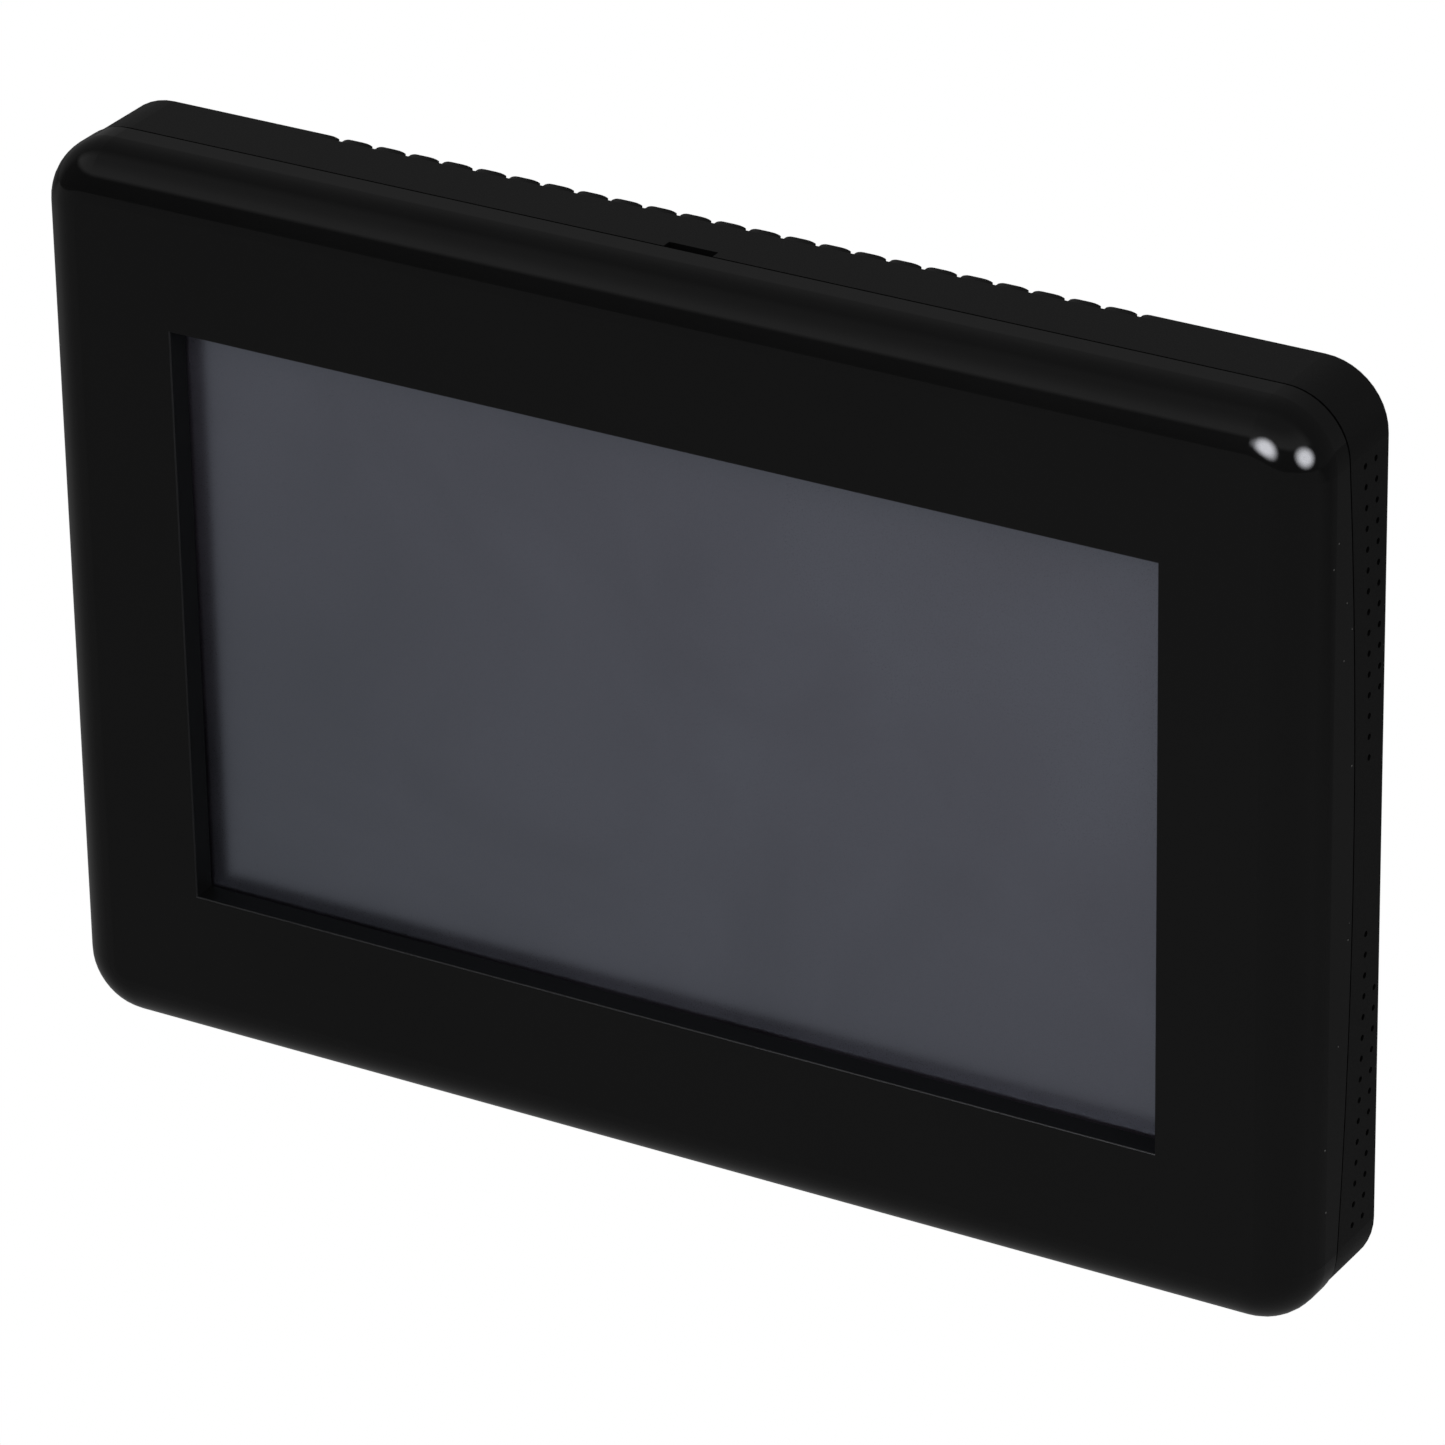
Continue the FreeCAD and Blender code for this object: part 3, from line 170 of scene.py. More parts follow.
# %% [markdown]
# ## Sky
# The sky is what the gloss mirrors.  Over the front its brightness changes with height:
# dim near the horizon, a bright band where a long ceiling light would be, and a calm
# grey above.  The quick step at the lower edge of that band draws the line along the
# rounded top of the bezel.  Behind the panel the sky is one even grey, and the camera
# itself sees only white.

# %% Sky
SKY_BACK = 0.165
SKY_BACK_FROM = 0.15
SKY_FRONT_FROM = -0.1
SKY_PROFILE = [
    # height of the direction, brightness
    (0.00, 0.06),
    (0.44, 0.08),
    (0.54, 0.80),
    (0.66, 0.72),
    (0.88, 0.32),
    (1.00, 0.26),
]


def make_sky():
    world = bpy.data.worlds.new("sky")
    world.use_nodes = True
    tree = world.node_tree
    tree.nodes.clear()
    output = tree.nodes.new("ShaderNodeOutputWorld")
    coords = tree.nodes.new("ShaderNodeTexCoord")
    split = tree.nodes.new("ShaderNodeSeparateXYZ")
    tree.links.new(coords.outputs["Generated"], split.inputs["Vector"])
    ramp = tree.nodes.new("ShaderNodeValToRGB")
    points = ramp.color_ramp.elements
    while len(points) > 1:
        points.remove(points[-1])
    for index, (height, level) in enumerate(SKY_PROFILE):
        point = points[0] if index == 0 else points.new(height)
        point.position = height
        point.color = (level, level, level, 1)
    tree.links.new(split.outputs["Z"], ramp.inputs["Fac"])
    front = tree.nodes.new("ShaderNodeMapRange")
    front.inputs["From Min"].default_value = SKY_BACK_FROM
    front.inputs["From Max"].default_value = SKY_FRONT_FROM
    tree.links.new(split.outputs["Y"], front.inputs["Value"])
    blend = tree.nodes.new("ShaderNodeMix")
    blend.data_type = "RGBA"
    blend.inputs["A"].default_value = (SKY_BACK, SKY_BACK, SKY_BACK, 1)
    tree.links.new(front.outputs["Result"], blend.inputs["Factor"])
    tree.links.new(ramp.outputs["Color"], blend.inputs["B"])
    lit = tree.nodes.new("ShaderNodeBackground")
    seen = tree.nodes.new("ShaderNodeBackground")
    seen.inputs["Color"].default_value = (1, 1, 1, 1)
    tree.links.new(blend.outputs["Result"], lit.inputs["Color"])
    ray = tree.nodes.new("ShaderNodeLightPath")
    mix = tree.nodes.new("ShaderNodeMixShader")
    tree.links.new(ray.outputs["Is Camera Ray"], mix.inputs["Fac"])
    tree.links.new(lit.outputs["Background"], mix.inputs[1])
    tree.links.new(seen.outputs["Background"], mix.inputs[2])
    tree.links.new(mix.outputs["Shader"], output.inputs["Surface"])
    bpy.context.scene.world = world
    print("sky levels:", [level for height, level in SKY_PROFILE])


make_sky()

# %% [markdown]
# ## Softboxes
# Two softboxes stand left and right of the camera.  The flat face never mirrors them,
# but the round corner of the bezel does, as two soft white spots.  Light linking keeps
# them on the gloss shell, because the anti-glare screen would smear them to a haze.
# Two broad bench lights reach only the pieces inside, so that the board and the speaker
# show clearly once the front swings open.

# %% Softboxes
LIGHT_DISTANCE = 1.3
LIGHT_COLOUR = (0.93, 0.94, 1.0)
FULL_UNTIL = 0.12
RIM = 0.5


def soften_rim(light):
    """Let the light fade from its centre to its rim, like cloth lit from behind."""
    light.use_nodes = True
    tree = light.node_tree
    tree.nodes.clear()
    place = tree.nodes.new("ShaderNodeNewGeometry")
    centred = tree.nodes.new("ShaderNodeVectorMath")
    centred.operation = "SUBTRACT"
    centred.inputs[1].default_value = (RIM, RIM, 0)
    distance = tree.nodes.new("ShaderNodeVectorMath")
    distance.operation = "LENGTH"
    fade = tree.nodes.new("ShaderNodeMapRange")
    fade.interpolation_type = "SMOOTHSTEP"
    fade.inputs["From Min"].default_value = FULL_UNTIL
    fade.inputs["From Max"].default_value = RIM
    fade.inputs["To Min"].default_value = 1.0
    fade.inputs["To Max"].default_value = 0.0
    emission = tree.nodes.new("ShaderNodeEmission")
    output = tree.nodes.new("ShaderNodeOutputLight")
    tree.links.new(place.outputs["Parametric"], centred.inputs[0])
    tree.links.new(centred.outputs["Vector"], distance.inputs[0])
    tree.links.new(distance.outputs["Value"], fade.inputs["Value"])
    tree.links.new(fade.outputs["Result"], emission.inputs["Strength"])
    tree.links.new(emission.outputs["Emission"], output.inputs["Surface"])


def softbox(name, azimuth, elevation, width, height, radiance, receivers, gloss_only=True):
    """A round light that faces the panel; sizes are the angles it fills."""
    wide = 2 * LIGHT_DISTANCE * math.tan(math.radians(width / 2))
    tall = 2 * LIGHT_DISTANCE * math.tan(math.radians(height / 2))
    light = bpy.data.lights.new(name, "AREA")
    light.shape = "ELLIPSE"
    light.size = wide
    light.size_y = tall
    light.energy = radiance * math.pi * wide * tall
    light.color = LIGHT_COLOUR
    soften_rim(light)
    box = bpy.data.objects.new(name, light)
    bpy.context.collection.objects.link(box)
    a = math.radians(azimuth)
    e = math.radians(elevation)
    way = Vector((math.sin(a) * math.cos(e), -math.cos(a) * math.cos(e), math.sin(e)))
    box.location = way * LIGHT_DISTANCE
    box.rotation_euler = way.to_track_quat("Z", "Y").to_euler()
    box.visible_camera = False
    box.visible_diffuse = not gloss_only
    lit = bpy.data.collections.new(name + "_receivers")
    for receiver in receivers:
        lit.objects.link(nodes[receiver])
    box.light_linking.receiver_collection = lit
    print(name, "is", round(wide, 2), "by", round(tall, 2), "m")
    return box


softbox("left_softbox", azimuth=2, elevation=24, width=40, height=41, radiance=34,
        receivers=["front_bezel"])
softbox("right_softbox", azimuth=70, elevation=18, width=45, height=35, radiance=32,
        receivers=["front_bezel"])
shells = ("front_bezel", "rear_case", "touch_panel")
inside = [name for name in nodes if name not in shells]
bench_lights = [
    softbox("bench_light_rear", azimuth=190, elevation=55, width=60, height=60, radiance=3.5,
            receivers=inside, gloss_only=False),
    softbox("bench_light_front", azimuth=20, elevation=60, width=60, height=60, radiance=2.5,
            receivers=inside, gloss_only=False),
]


def light_up(piece):
    """Let the bench lights reach a piece that was added to the model."""
    for lamp in bench_lights:
        lamp.light_linking.receiver_collection.objects.link(piece)


# %% [markdown]
# ## Tools for finishes
# Every finish below starts from a noise that is fixed to the object, so it stays put in
# any view.  The noise moves colour and roughness a little and, through a bump node,
# gives the surface its grain.  A few small helpers keep those recipes short.

# %% Node helpers
MM = 0.001


def object_coords(tree):
    """Places on the object itself, so that a pattern moves with it."""
    coords = tree.nodes.new("ShaderNodeTexCoord")
    return coords.outputs["Object"]


def noise(tree, size, detail=2.0, stretch=(1, 1, 1), distortion=0.0):
    """Noise whose grains are about `size` metres across."""
    mapping = tree.nodes.new("ShaderNodeMapping")
    mapping.inputs["Scale"].default_value = stretch
    tree.links.new(object_coords(tree), mapping.inputs["Vector"])
    texture = tree.nodes.new("ShaderNodeTexNoise")
    texture.inputs["Scale"].default_value = 1 / size
    texture.inputs["Detail"].default_value = detail
    texture.inputs["Distortion"].default_value = distortion
    tree.links.new(mapping.outputs["Vector"], texture.inputs["Vector"])
    return texture.outputs["Fac"]


def spread(tree, source, low, high, start=0.3, end=0.7):
    """Map a 0 to 1 signal onto a range of values."""
    node = tree.nodes.new("ShaderNodeMapRange")
    node.inputs["From Min"].default_value = start
    node.inputs["From Max"].default_value = end
    node.inputs["To Min"].default_value = low
    node.inputs["To Max"].default_value = high
    tree.links.new(source, node.inputs["Value"])
    return node.outputs["Result"]


def mix_colour(tree, factor, first, second):
    """Blend two colours; each is a tuple or a socket."""
    node = tree.nodes.new("ShaderNodeMix")
    node.data_type = "RGBA"
    tree.links.new(factor, node.inputs["Factor"])
    for slot_index, colour in ((6, first), (7, second)):
        if isinstance(colour, tuple):
            node.inputs[slot_index].default_value = (*colour, 1)
        else:
            tree.links.new(colour, node.inputs[slot_index])
    return node.outputs[2]


def math_node(tree, operation, first, second=0.0):
    """One sum; each input is a number or a socket."""
    node = tree.nodes.new("ShaderNodeMath")
    node.operation = operation
    for index, item in enumerate((first, second)):
        if isinstance(item, (int, float)):
            node.inputs[index].default_value = item
        else:
            tree.links.new(item, node.inputs[index])
    return node.outputs["Value"]


def axes_of(tree):
    """The X, Y and Z of a point on the object."""
    split = tree.nodes.new("ShaderNodeSeparateXYZ")
    tree.links.new(object_coords(tree), split.inputs["Vector"])
    return split.outputs["X"], split.outputs["Y"], split.outputs["Z"]


def add_bump(tree, shader, height, depth):
    """Raise the surface by up to `depth` metres where `height` is high."""
    bump = tree.nodes.new("ShaderNodeBump")
    bump.inputs["Distance"].default_value = depth
    bump.inputs["Strength"].default_value = 1.0
    tree.links.new(height, bump.inputs["Height"])
    tree.links.new(bump.outputs["Normal"], shader.inputs["Normal"])


def finish(name, dark, light, grain, rough=(0.4, 0.55), metal=0.0, relief=0.0, specular=0.5,
           stretch=(1, 1, 1)):
    """A plain finish: two close colours, a range of roughness and a fine relief."""
    material, tree, shader = new_material(name)
    clouds = noise(tree, grain * 12, 3, stretch)
    grains = noise(tree, grain, stretch=stretch)
    tree.links.new(mix_colour(tree, clouds, dark, light), shader.inputs["Base Color"])
    tree.links.new(spread(tree, grains, *rough), shader.inputs["Roughness"])
    shader.inputs["Metallic"].default_value = metal
    shader.inputs["Specular IOR Level"].default_value = specular
    if relief:
        add_bump(tree, shader, grains, relief)
    return material


def wear(material, *names):
    """Give CAD nodes a finish through their material slots."""
    for name in names:
        mesh = nodes[name].data
        mesh.materials.clear()
        mesh.materials.append(material)
    print(material.name, "->", ", ".join(names))


# %% [markdown]
# ## Gloss black bezel
# The front shell is moulded in black plastic from a polished tool.  Its body is almost
# black, so what shows is the mirror image of the studio.  Its black has a slow random
# tone and is painted lighter toward the right side, a painted light for the brighter
# light there.  A very slow relief stands for the slight unevenness of a moulding, and a
# few specks of dust sit near its right side, as on any handled gloss part.  The walls of
# the window are left matt, and their black is painted darker as shade in the recess.

# %% Gloss black
DUST_CELL = 2.6 * MM
DUST_RADIUS = 0.055
DUST_SHARE = 0.12
DUST_FROM_X = 0.093
WINDOW_HALF_WIDTH = 77.0 * MM
WINDOW_HALF_HEIGHT = 43.9 * MM
CUT_EXTRA_ROUGHNESS = 0.35
# Half the width over which the painted light brightens the black toward the right.
PAINTED_LIGHT_HALF_WIDTH = 0.09
GLOSS_SPECULAR = 0.17


def dust_mask(tree):
    """One speck in a small share of the cells of a Voronoi pattern."""
    cells = tree.nodes.new("ShaderNodeTexVoronoi")
    cells.inputs["Scale"].default_value = 1 / DUST_CELL
    tree.links.new(object_coords(tree), cells.inputs["Vector"])
    spot = math_node(tree, "LESS_THAN", cells.outputs["Distance"], DUST_RADIUS)
    pick = tree.nodes.new("ShaderNodeSeparateColor")
    tree.links.new(cells.outputs["Color"], pick.inputs["Color"])
    chosen = math_node(tree, "LESS_THAN", pick.outputs["Red"], DUST_SHARE)
    x_axis, _, _ = axes_of(tree)
    side = math_node(tree, "GREATER_THAN", x_axis, DUST_FROM_X)
    return math_node(tree, "MULTIPLY", math_node(tree, "MULTIPLY", spot, chosen), side)


def window_mask(tree):
    """1 on the walls of the window, which are left matt and painted darker as shade."""
    x_axis, _, z_axis = axes_of(tree)
    in_x = math_node(tree, "LESS_THAN", math_node(tree, "ABSOLUTE", x_axis), WINDOW_HALF_WIDTH)
    in_z = math_node(tree, "LESS_THAN", math_node(tree, "ABSOLUTE", z_axis), WINDOW_HALF_HEIGHT)
    return math_node(tree, "MULTIPLY", in_x, in_z)


def make_gloss_black():
    material, tree, shader = new_material("gloss_black")
    dust = dust_mask(tree)
    matt_shaded_walls = window_mask(tree)
    x_axis, _, _ = axes_of(tree)
    clouds = noise(tree, 30 * MM, 2)
    # Painted light: the black is raised toward the right side of the bezel, where more light
    # falls, and the cloud noise adds a slow random variation.
    across = spread(tree, x_axis, -0.1, 1.1, -PAINTED_LIGHT_HALF_WIDTH, PAINTED_LIGHT_HALF_WIDTH)
    tone_and_painted_light = math_node(tree, "MULTIPLY", math_node(tree, "ADD", clouds, across), 0.5)
    black = mix_colour(tree, tone_and_painted_light, (0.0080, 0.0080, 0.0082), (0.0150, 0.0150, 0.0151))
    # Painted shade: the recessed window walls get a darker black than the rest of the shell, for
    # the shade inside the recess; their extra roughness below is the real matt finish.
    black_and_wall_shade = mix_colour(tree, matt_shaded_walls, black, (0.0015, 0.0015, 0.0015))
    dust_and_painted_light = mix_colour(tree, dust, black_and_wall_shade, (0.30, 0.30, 0.29))
    tree.links.new(dust_and_painted_light, shader.inputs["Base Color"])
    smears = noise(tree, 9 * MM, 4, distortion=0.6)
    clean = spread(tree, smears, 0.055, 0.085)
    matt = math_node(tree, "MULTIPLY", matt_shaded_walls, CUT_EXTRA_ROUGHNESS)
    rough = math_node(tree, "ADD", clean, matt)
    tree.links.new(rough, shader.inputs["Roughness"])
    shader.inputs["Specular IOR Level"].default_value = GLOSS_SPECULAR
    add_bump(tree, shader, noise(tree, 14 * MM, 1), 0.004 * MM)
    return material


wear(make_gloss_black(), "front_bezel")

# %% [markdown]
# ## Satin black rear case
# The rear shell has the fine spark-eroded texture of most wall housings.  A noise with
# grains of a fifth of a millimetre gives it, shallow enough that the case reads as
# smooth satin from arm's length.

# %% Satin black
SATIN_SPECULAR = 0.21


def make_satin_black():
    material, tree, shader = new_material("satin_black")
    clouds = noise(tree, 24 * MM, 3)
    grains = noise(tree, 0.22 * MM, 2)
    black = mix_colour(tree, clouds, (0.0062, 0.0062, 0.0064), (0.0078, 0.0078, 0.0079))
    tree.links.new(black, shader.inputs["Base Color"])
    tree.links.new(spread(tree, grains, 0.38, 0.48), shader.inputs["Roughness"])
    shader.inputs["Specular IOR Level"].default_value = SATIN_SPECULAR
    add_bump(tree, shader, grains, 0.012 * MM)
    return material


wear(make_satin_black(), "rear_case")

# %% [markdown]
# ## Display front
# The touch panel has an anti-glare film over several reflecting layers, so it mirrors
# more than the bezel does but blurs what it mirrors.  The deep window frame then shows
# in it as soft dark strips.  A high index gives that strength and a medium roughness
# the blur.  A slow mottle gives the film its uneven tint.  Over that, light and shade
# are painted into the colour: it goes from near black at the lower left to the full
# tint at the upper right, brighter where more light falls on the film.

# %% Display film
FILM_INDEX = 2.97
FILM_TINT = (0.77, 0.84, 1.0, 1)
# How steeply the painted light climbs along X and along Z.
PAINTED_LIGHT_RISE_X = 2.2
PAINTED_LIGHT_RISE_Z = 4.0


def make_display_film():
    material, tree, shader = new_material("display_film")
    mottle = noise(tree, 42 * MM, 3, distortion=0.8)
    x_axis, _, z_axis = axes_of(tree)
    # Painted light and shade: the colour is brightened toward the upper right and darkened toward
    # the lower left.
    painted_light_rise = math_node(tree, "ADD", math_node(tree, "MULTIPLY", x_axis, PAINTED_LIGHT_RISE_X),
                     math_node(tree, "MULTIPLY", z_axis, PAINTED_LIGHT_RISE_Z))
    painted_light_slope = math_node(tree, "ADD", painted_light_rise, 0.5)
    tone_and_painted_light = math_node(tree, "MULTIPLY", math_node(tree, "ADD", mottle, painted_light_slope), 0.5)
    tint = mix_colour(tree, mottle, (0.160, 0.115, 0.150), (0.105, 0.115, 0.145))
    # The near-black end is painted shade; the mottled tint is the film's own colour.
    film = mix_colour(tree, spread(tree, tone_and_painted_light, 0.0, 1.0, 0.25, 0.75), (0.003, 0.003, 0.004), tint)
    tree.links.new(film, shader.inputs["Base Color"])
    grains = noise(tree, 0.08 * MM, 1)
    tree.links.new(spread(tree, grains, 0.27, 0.31), shader.inputs["Roughness"])
    shader.inputs["IOR"].default_value = FILM_INDEX
    shader.inputs["Specular Tint"].default_value = FILM_TINT
    return material


wear(make_display_film(), "touch_panel")

# %% [markdown]
# ## Display stack
# Behind the film lie a foam gasket, the glass cell, an acrylic light guide and a steel
# frame and tray that clip together.  Rolled steel keeps faint marks along the rolling
# direction, so its noise is stretched along X.  The open front shows all of their edges.

# %% Display stack behind the film
foam = finish("black_foam", (0.012, 0.012, 0.012), (0.02, 0.02, 0.02), 0.3 * MM, (0.8, 0.95),
              relief=0.05 * MM, specular=0.2)
wear(foam, "window_gasket")
pressed_steel = finish("pressed_steel", (0.50, 0.51, 0.52), (0.58, 0.59, 0.60), 0.15 * MM,
                       (0.26, 0.36), metal=1.0, relief=0.002 * MM, stretch=(0.06, 1, 1))
wear(pressed_steel, "lcd_frame", "backlight_tray")
cell_glass = finish("cell_glass", (0.02, 0.02, 0.024), (0.028, 0.028, 0.032), 2 * MM, (0.05, 0.09))
wear(cell_glass, "lcd_glass")
acrylic = finish("white_acrylic", (0.72, 0.74, 0.76), (0.80, 0.82, 0.83), 1.5 * MM, (0.12, 0.2))
wear(acrylic, "light_guide")

# %% [markdown]
# ## Hinge, latch and screws
# Small metal parts take their look from the way they were made: drawn pins and wire have
# marks along their length, rolled and plated screws an even fine grain.  Stretching the
# noise along one axis gives the drawn marks.

# %% Metal and moulded hardware
drawn_steel = finish("drawn_steel", (0.55, 0.55, 0.57), (0.66, 0.66, 0.68), 0.08 * MM,
                     (0.2, 0.34), metal=1.0, relief=0.002 * MM, stretch=(0.05, 1, 1))
wear(drawn_steel, "hinge_pins")
spring_wire = finish("spring_wire", (0.44, 0.44, 0.46), (0.58, 0.58, 0.60), 0.06 * MM,
                     (0.22, 0.38), metal=1.0, relief=0.002 * MM)
wear(spring_wire, "latch_spring")
slide_nylon = finish("slide_nylon", (0.020, 0.020, 0.021), (0.030, 0.030, 0.031), 0.25 * MM,
                     (0.38, 0.5), relief=0.008 * MM, specular=0.3)
wear(slide_nylon, "latch_guide", "release_latch")
zinc_plate = finish("zinc_plate", (0.52, 0.53, 0.54), (0.62, 0.62, 0.60), 0.1 * MM,
                    (0.25, 0.4), metal=1.0, relief=0.003 * MM)
wear(zinc_plate, "board_screws")

# %% [markdown]
# ## Circuit board
# Solder mask is a glossy green lacquer over copper tracks, which show as slightly lighter
# and raised lines.  Long bricks with thin joints make a believable net of tracks, and a
# slow noise turns their direction from one area to the next.

# %% Solder mask
TRACK_LENGTH = 6.5 * MM
TRACK_PITCH = 1.1 * MM
TRACK_WIDTH = 0.1 * MM
TRACK_HEIGHT = 0.03 * MM


def tracks(tree, turned):
    """The thin joints between long bricks, along X or turned along Z."""
    mapping = tree.nodes.new("ShaderNodeMapping")
    quarter = math.pi / 2
    mapping.inputs["Rotation"].default_value = (quarter, 0, quarter if turned else 0)
    tree.links.new(object_coords(tree), mapping.inputs["Vector"])
    bricks = tree.nodes.new("ShaderNodeTexBrick")
    bricks.inputs["Scale"].default_value = 1.0
    bricks.inputs["Brick Width"].default_value = TRACK_LENGTH
    bricks.inputs["Row Height"].default_value = TRACK_PITCH
    bricks.inputs["Mortar Size"].default_value = TRACK_WIDTH
    bricks.inputs["Mortar Smooth"].default_value = 0.2
    tree.links.new(mapping.outputs["Vector"], bricks.inputs["Vector"])
    return bricks.outputs["Fac"]


def make_solder_mask():
    material, tree, shader = new_material("solder_mask")
    region = spread(tree, noise(tree, 13 * MM, 1), 0.0, 1.0, 0.49, 0.51)
    across = tracks(tree, turned=False)
    along = tracks(tree, turned=True)
    pick = tree.nodes.new("ShaderNodeMix")
    tree.links.new(region, pick.inputs["Factor"])
    tree.links.new(across, pick.inputs[2])
    tree.links.new(along, pick.inputs[3])
    net = pick.outputs[0]
    clouds = noise(tree, 8 * MM, 3)
    mask_green = mix_colour(tree, clouds, (0.010, 0.075, 0.030), (0.014, 0.095, 0.038))
    lit_green = mix_colour(tree, net, mask_green, (0.050, 0.190, 0.075))
    tree.links.new(lit_green, shader.inputs["Base Color"])
    tree.links.new(spread(tree, noise(tree, 0.5 * MM, 2), 0.22, 0.34), shader.inputs["Roughness"])
    add_bump(tree, shader, net, TRACK_HEIGHT)
    return material


wear(make_solder_mask(), "main_board")

# %% [markdown]
# ## Electronic parts
# Moulded chips are matt black epoxy with a fine texture from the mould.  Shields and the
# crystal's can are drawn from tinned sheet, which stays bright but slightly wavy.
# Inductors are pressed ferrite powder, dark grey and dull.

# %% Epoxy, tin and ferrite
epoxy = finish("moulding_epoxy", (0.013, 0.013, 0.014), (0.022, 0.022, 0.023), 0.12 * MM,
               (0.5, 0.65), relief=0.006 * MM, specular=0.35)
wear(epoxy, "processor", "flash_memory", "memory_chips", "regulators")
tinned_sheet = finish("tinned_sheet", (0.56, 0.56, 0.55), (0.70, 0.70, 0.69), 0.12 * MM,
                      (0.24, 0.4), metal=1.0, relief=0.003 * MM, stretch=(1, 1, 0.06))
wear(tinned_sheet, "radio_shield", "crystal")
ferrite = finish("pressed_ferrite", (0.045, 0.045, 0.048), (0.075, 0.075, 0.080), 0.2 * MM,
                 (0.55, 0.7), relief=0.015 * MM)
wear(ferrite, "inductors")

# %% [markdown]
# ## Passive parts
# Chip resistors and capacitors are fired ceramic with bright tin on both ends.  The row
# repeats along X, so the remainder of X over the pitch tells body from end cap, and one
# material serves the whole row.

# %% Chip resistors and capacitors
RESISTORS = 10
RESISTOR_LENGTH = 1.6 * MM
RESISTOR_HALF_BODY = 0.5 * MM
CAPACITORS = 8
CAPACITOR_LENGTH = 2.0 * MM
CAPACITOR_HALF_BODY = 0.62 * MM
END_CAP_TIN = (0.66, 0.66, 0.65)


def make_capped_ceramic(name, body_dark, body_light, first_centre, pitch, half_body):
    """Ceramic bodies in a row along X, with tinned ends."""
    material, tree, shader = new_material(name)
    x_axis, _, _ = axes_of(tree)
    from_start = math_node(tree, "SUBTRACT", x_axis, first_centre - pitch / 2)
    turns = math_node(tree, "DIVIDE", from_start, pitch)
    place = math_node(tree, "SUBTRACT", math_node(tree, "FRACT", turns), 0.5)
    offset = math_node(tree, "MULTIPLY", math_node(tree, "ABSOLUTE", place), pitch)
    cap = math_node(tree, "GREATER_THAN", offset, half_body)
    clouds = noise(tree, 0.3 * MM, 2)
    ceramic = mix_colour(tree, clouds, body_dark, body_light)
    tree.links.new(mix_colour(tree, cap, ceramic, END_CAP_TIN), shader.inputs["Base Color"])
    tree.links.new(cap, shader.inputs["Metallic"])
    tree.links.new(spread(tree, clouds, 0.3, 0.45), shader.inputs["Roughness"])
    return material


def row_of(box, length, count):
    """First centre and pitch of equal parts that fill a row along X."""
    first = box[0][0] + length / 2
    last = box[1][0] - length / 2
    return first, (last - first) / (count - 1)


first, pitch = row_of(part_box("chip_resistors"), RESISTOR_LENGTH, RESISTORS)
wear(make_capped_ceramic("resistor_ceramic", (0.016, 0.016, 0.018), (0.026, 0.026, 0.028),
                         first, pitch, RESISTOR_HALF_BODY), "chip_resistors")
first, pitch = row_of(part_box("chip_capacitors"), CAPACITOR_LENGTH, CAPACITORS)
wear(make_capped_ceramic("capacitor_ceramic", (0.30, 0.20, 0.12), (0.38, 0.27, 0.17),
                         first, pitch, CAPACITOR_HALF_BODY), "chip_capacitors")

# %% [markdown]
# ## Cans and pins
# The tall capacitors wear a dark sleeve with a bare aluminium top, and the service header
# is black nylon with gold-plated pins.  In both, the change comes at one height over the
# board, so a step on Y divides the two finishes.

# %% Capacitor cans and header pins
BARE_CAN_TOP = 0.35 * MM
HEADER_BODY_HEIGHT = 2.6 * MM
DARK_SLEEVE = (0.010, 0.012, 0.030)
BARE_ALUMINIUM = (0.72, 0.72, 0.73)
HEADER_NYLON = (0.014, 0.014, 0.015)
GOLD_PLATE = (0.83, 0.60, 0.26)


def make_by_height(name, level, below, above):
    """Two finishes split at a height over the board: a body below and metal above."""
    material, tree, shader = new_material(name)
    _, y_axis, _ = axes_of(tree)
    high = math_node(tree, "GREATER_THAN", y_axis, level)
    grains = noise(tree, 0.2 * MM, 2)
    lower = mix_colour(tree, grains, below, tuple(1.4 * part for part in below))
    upper = mix_colour(tree, grains, above, tuple(1.1 * part for part in above))
    tree.links.new(mix_colour(tree, high, lower, upper), shader.inputs["Base Color"])
    tree.links.new(high, shader.inputs["Metallic"])
    tree.links.new(spread(tree, grains, 0.28, 0.42), shader.inputs["Roughness"])
    add_bump(tree, shader, grains, 0.004 * MM)
    return material


can_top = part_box("electrolytics")[1][1]
wear(make_by_height("sleeved_can", can_top - BARE_CAN_TOP, DARK_SLEEVE, BARE_ALUMINIUM),
     "electrolytics")
header_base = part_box("service_header")[0][1]
wear(make_by_height("header_and_pins", header_base + HEADER_BODY_HEIGHT, HEADER_NYLON,
                    GOLD_PLATE), "service_header")

# %% [markdown]
# ## Moulded nylon, acetal and plated screws
# Connectors are moulded nylon: ivory for the flat circuits and the usual green for the
# screw terminals.  The tamper plunger is natural acetal, a waxy off-white plastic that
# slides without grease.  The clamp screws are nickel plated.

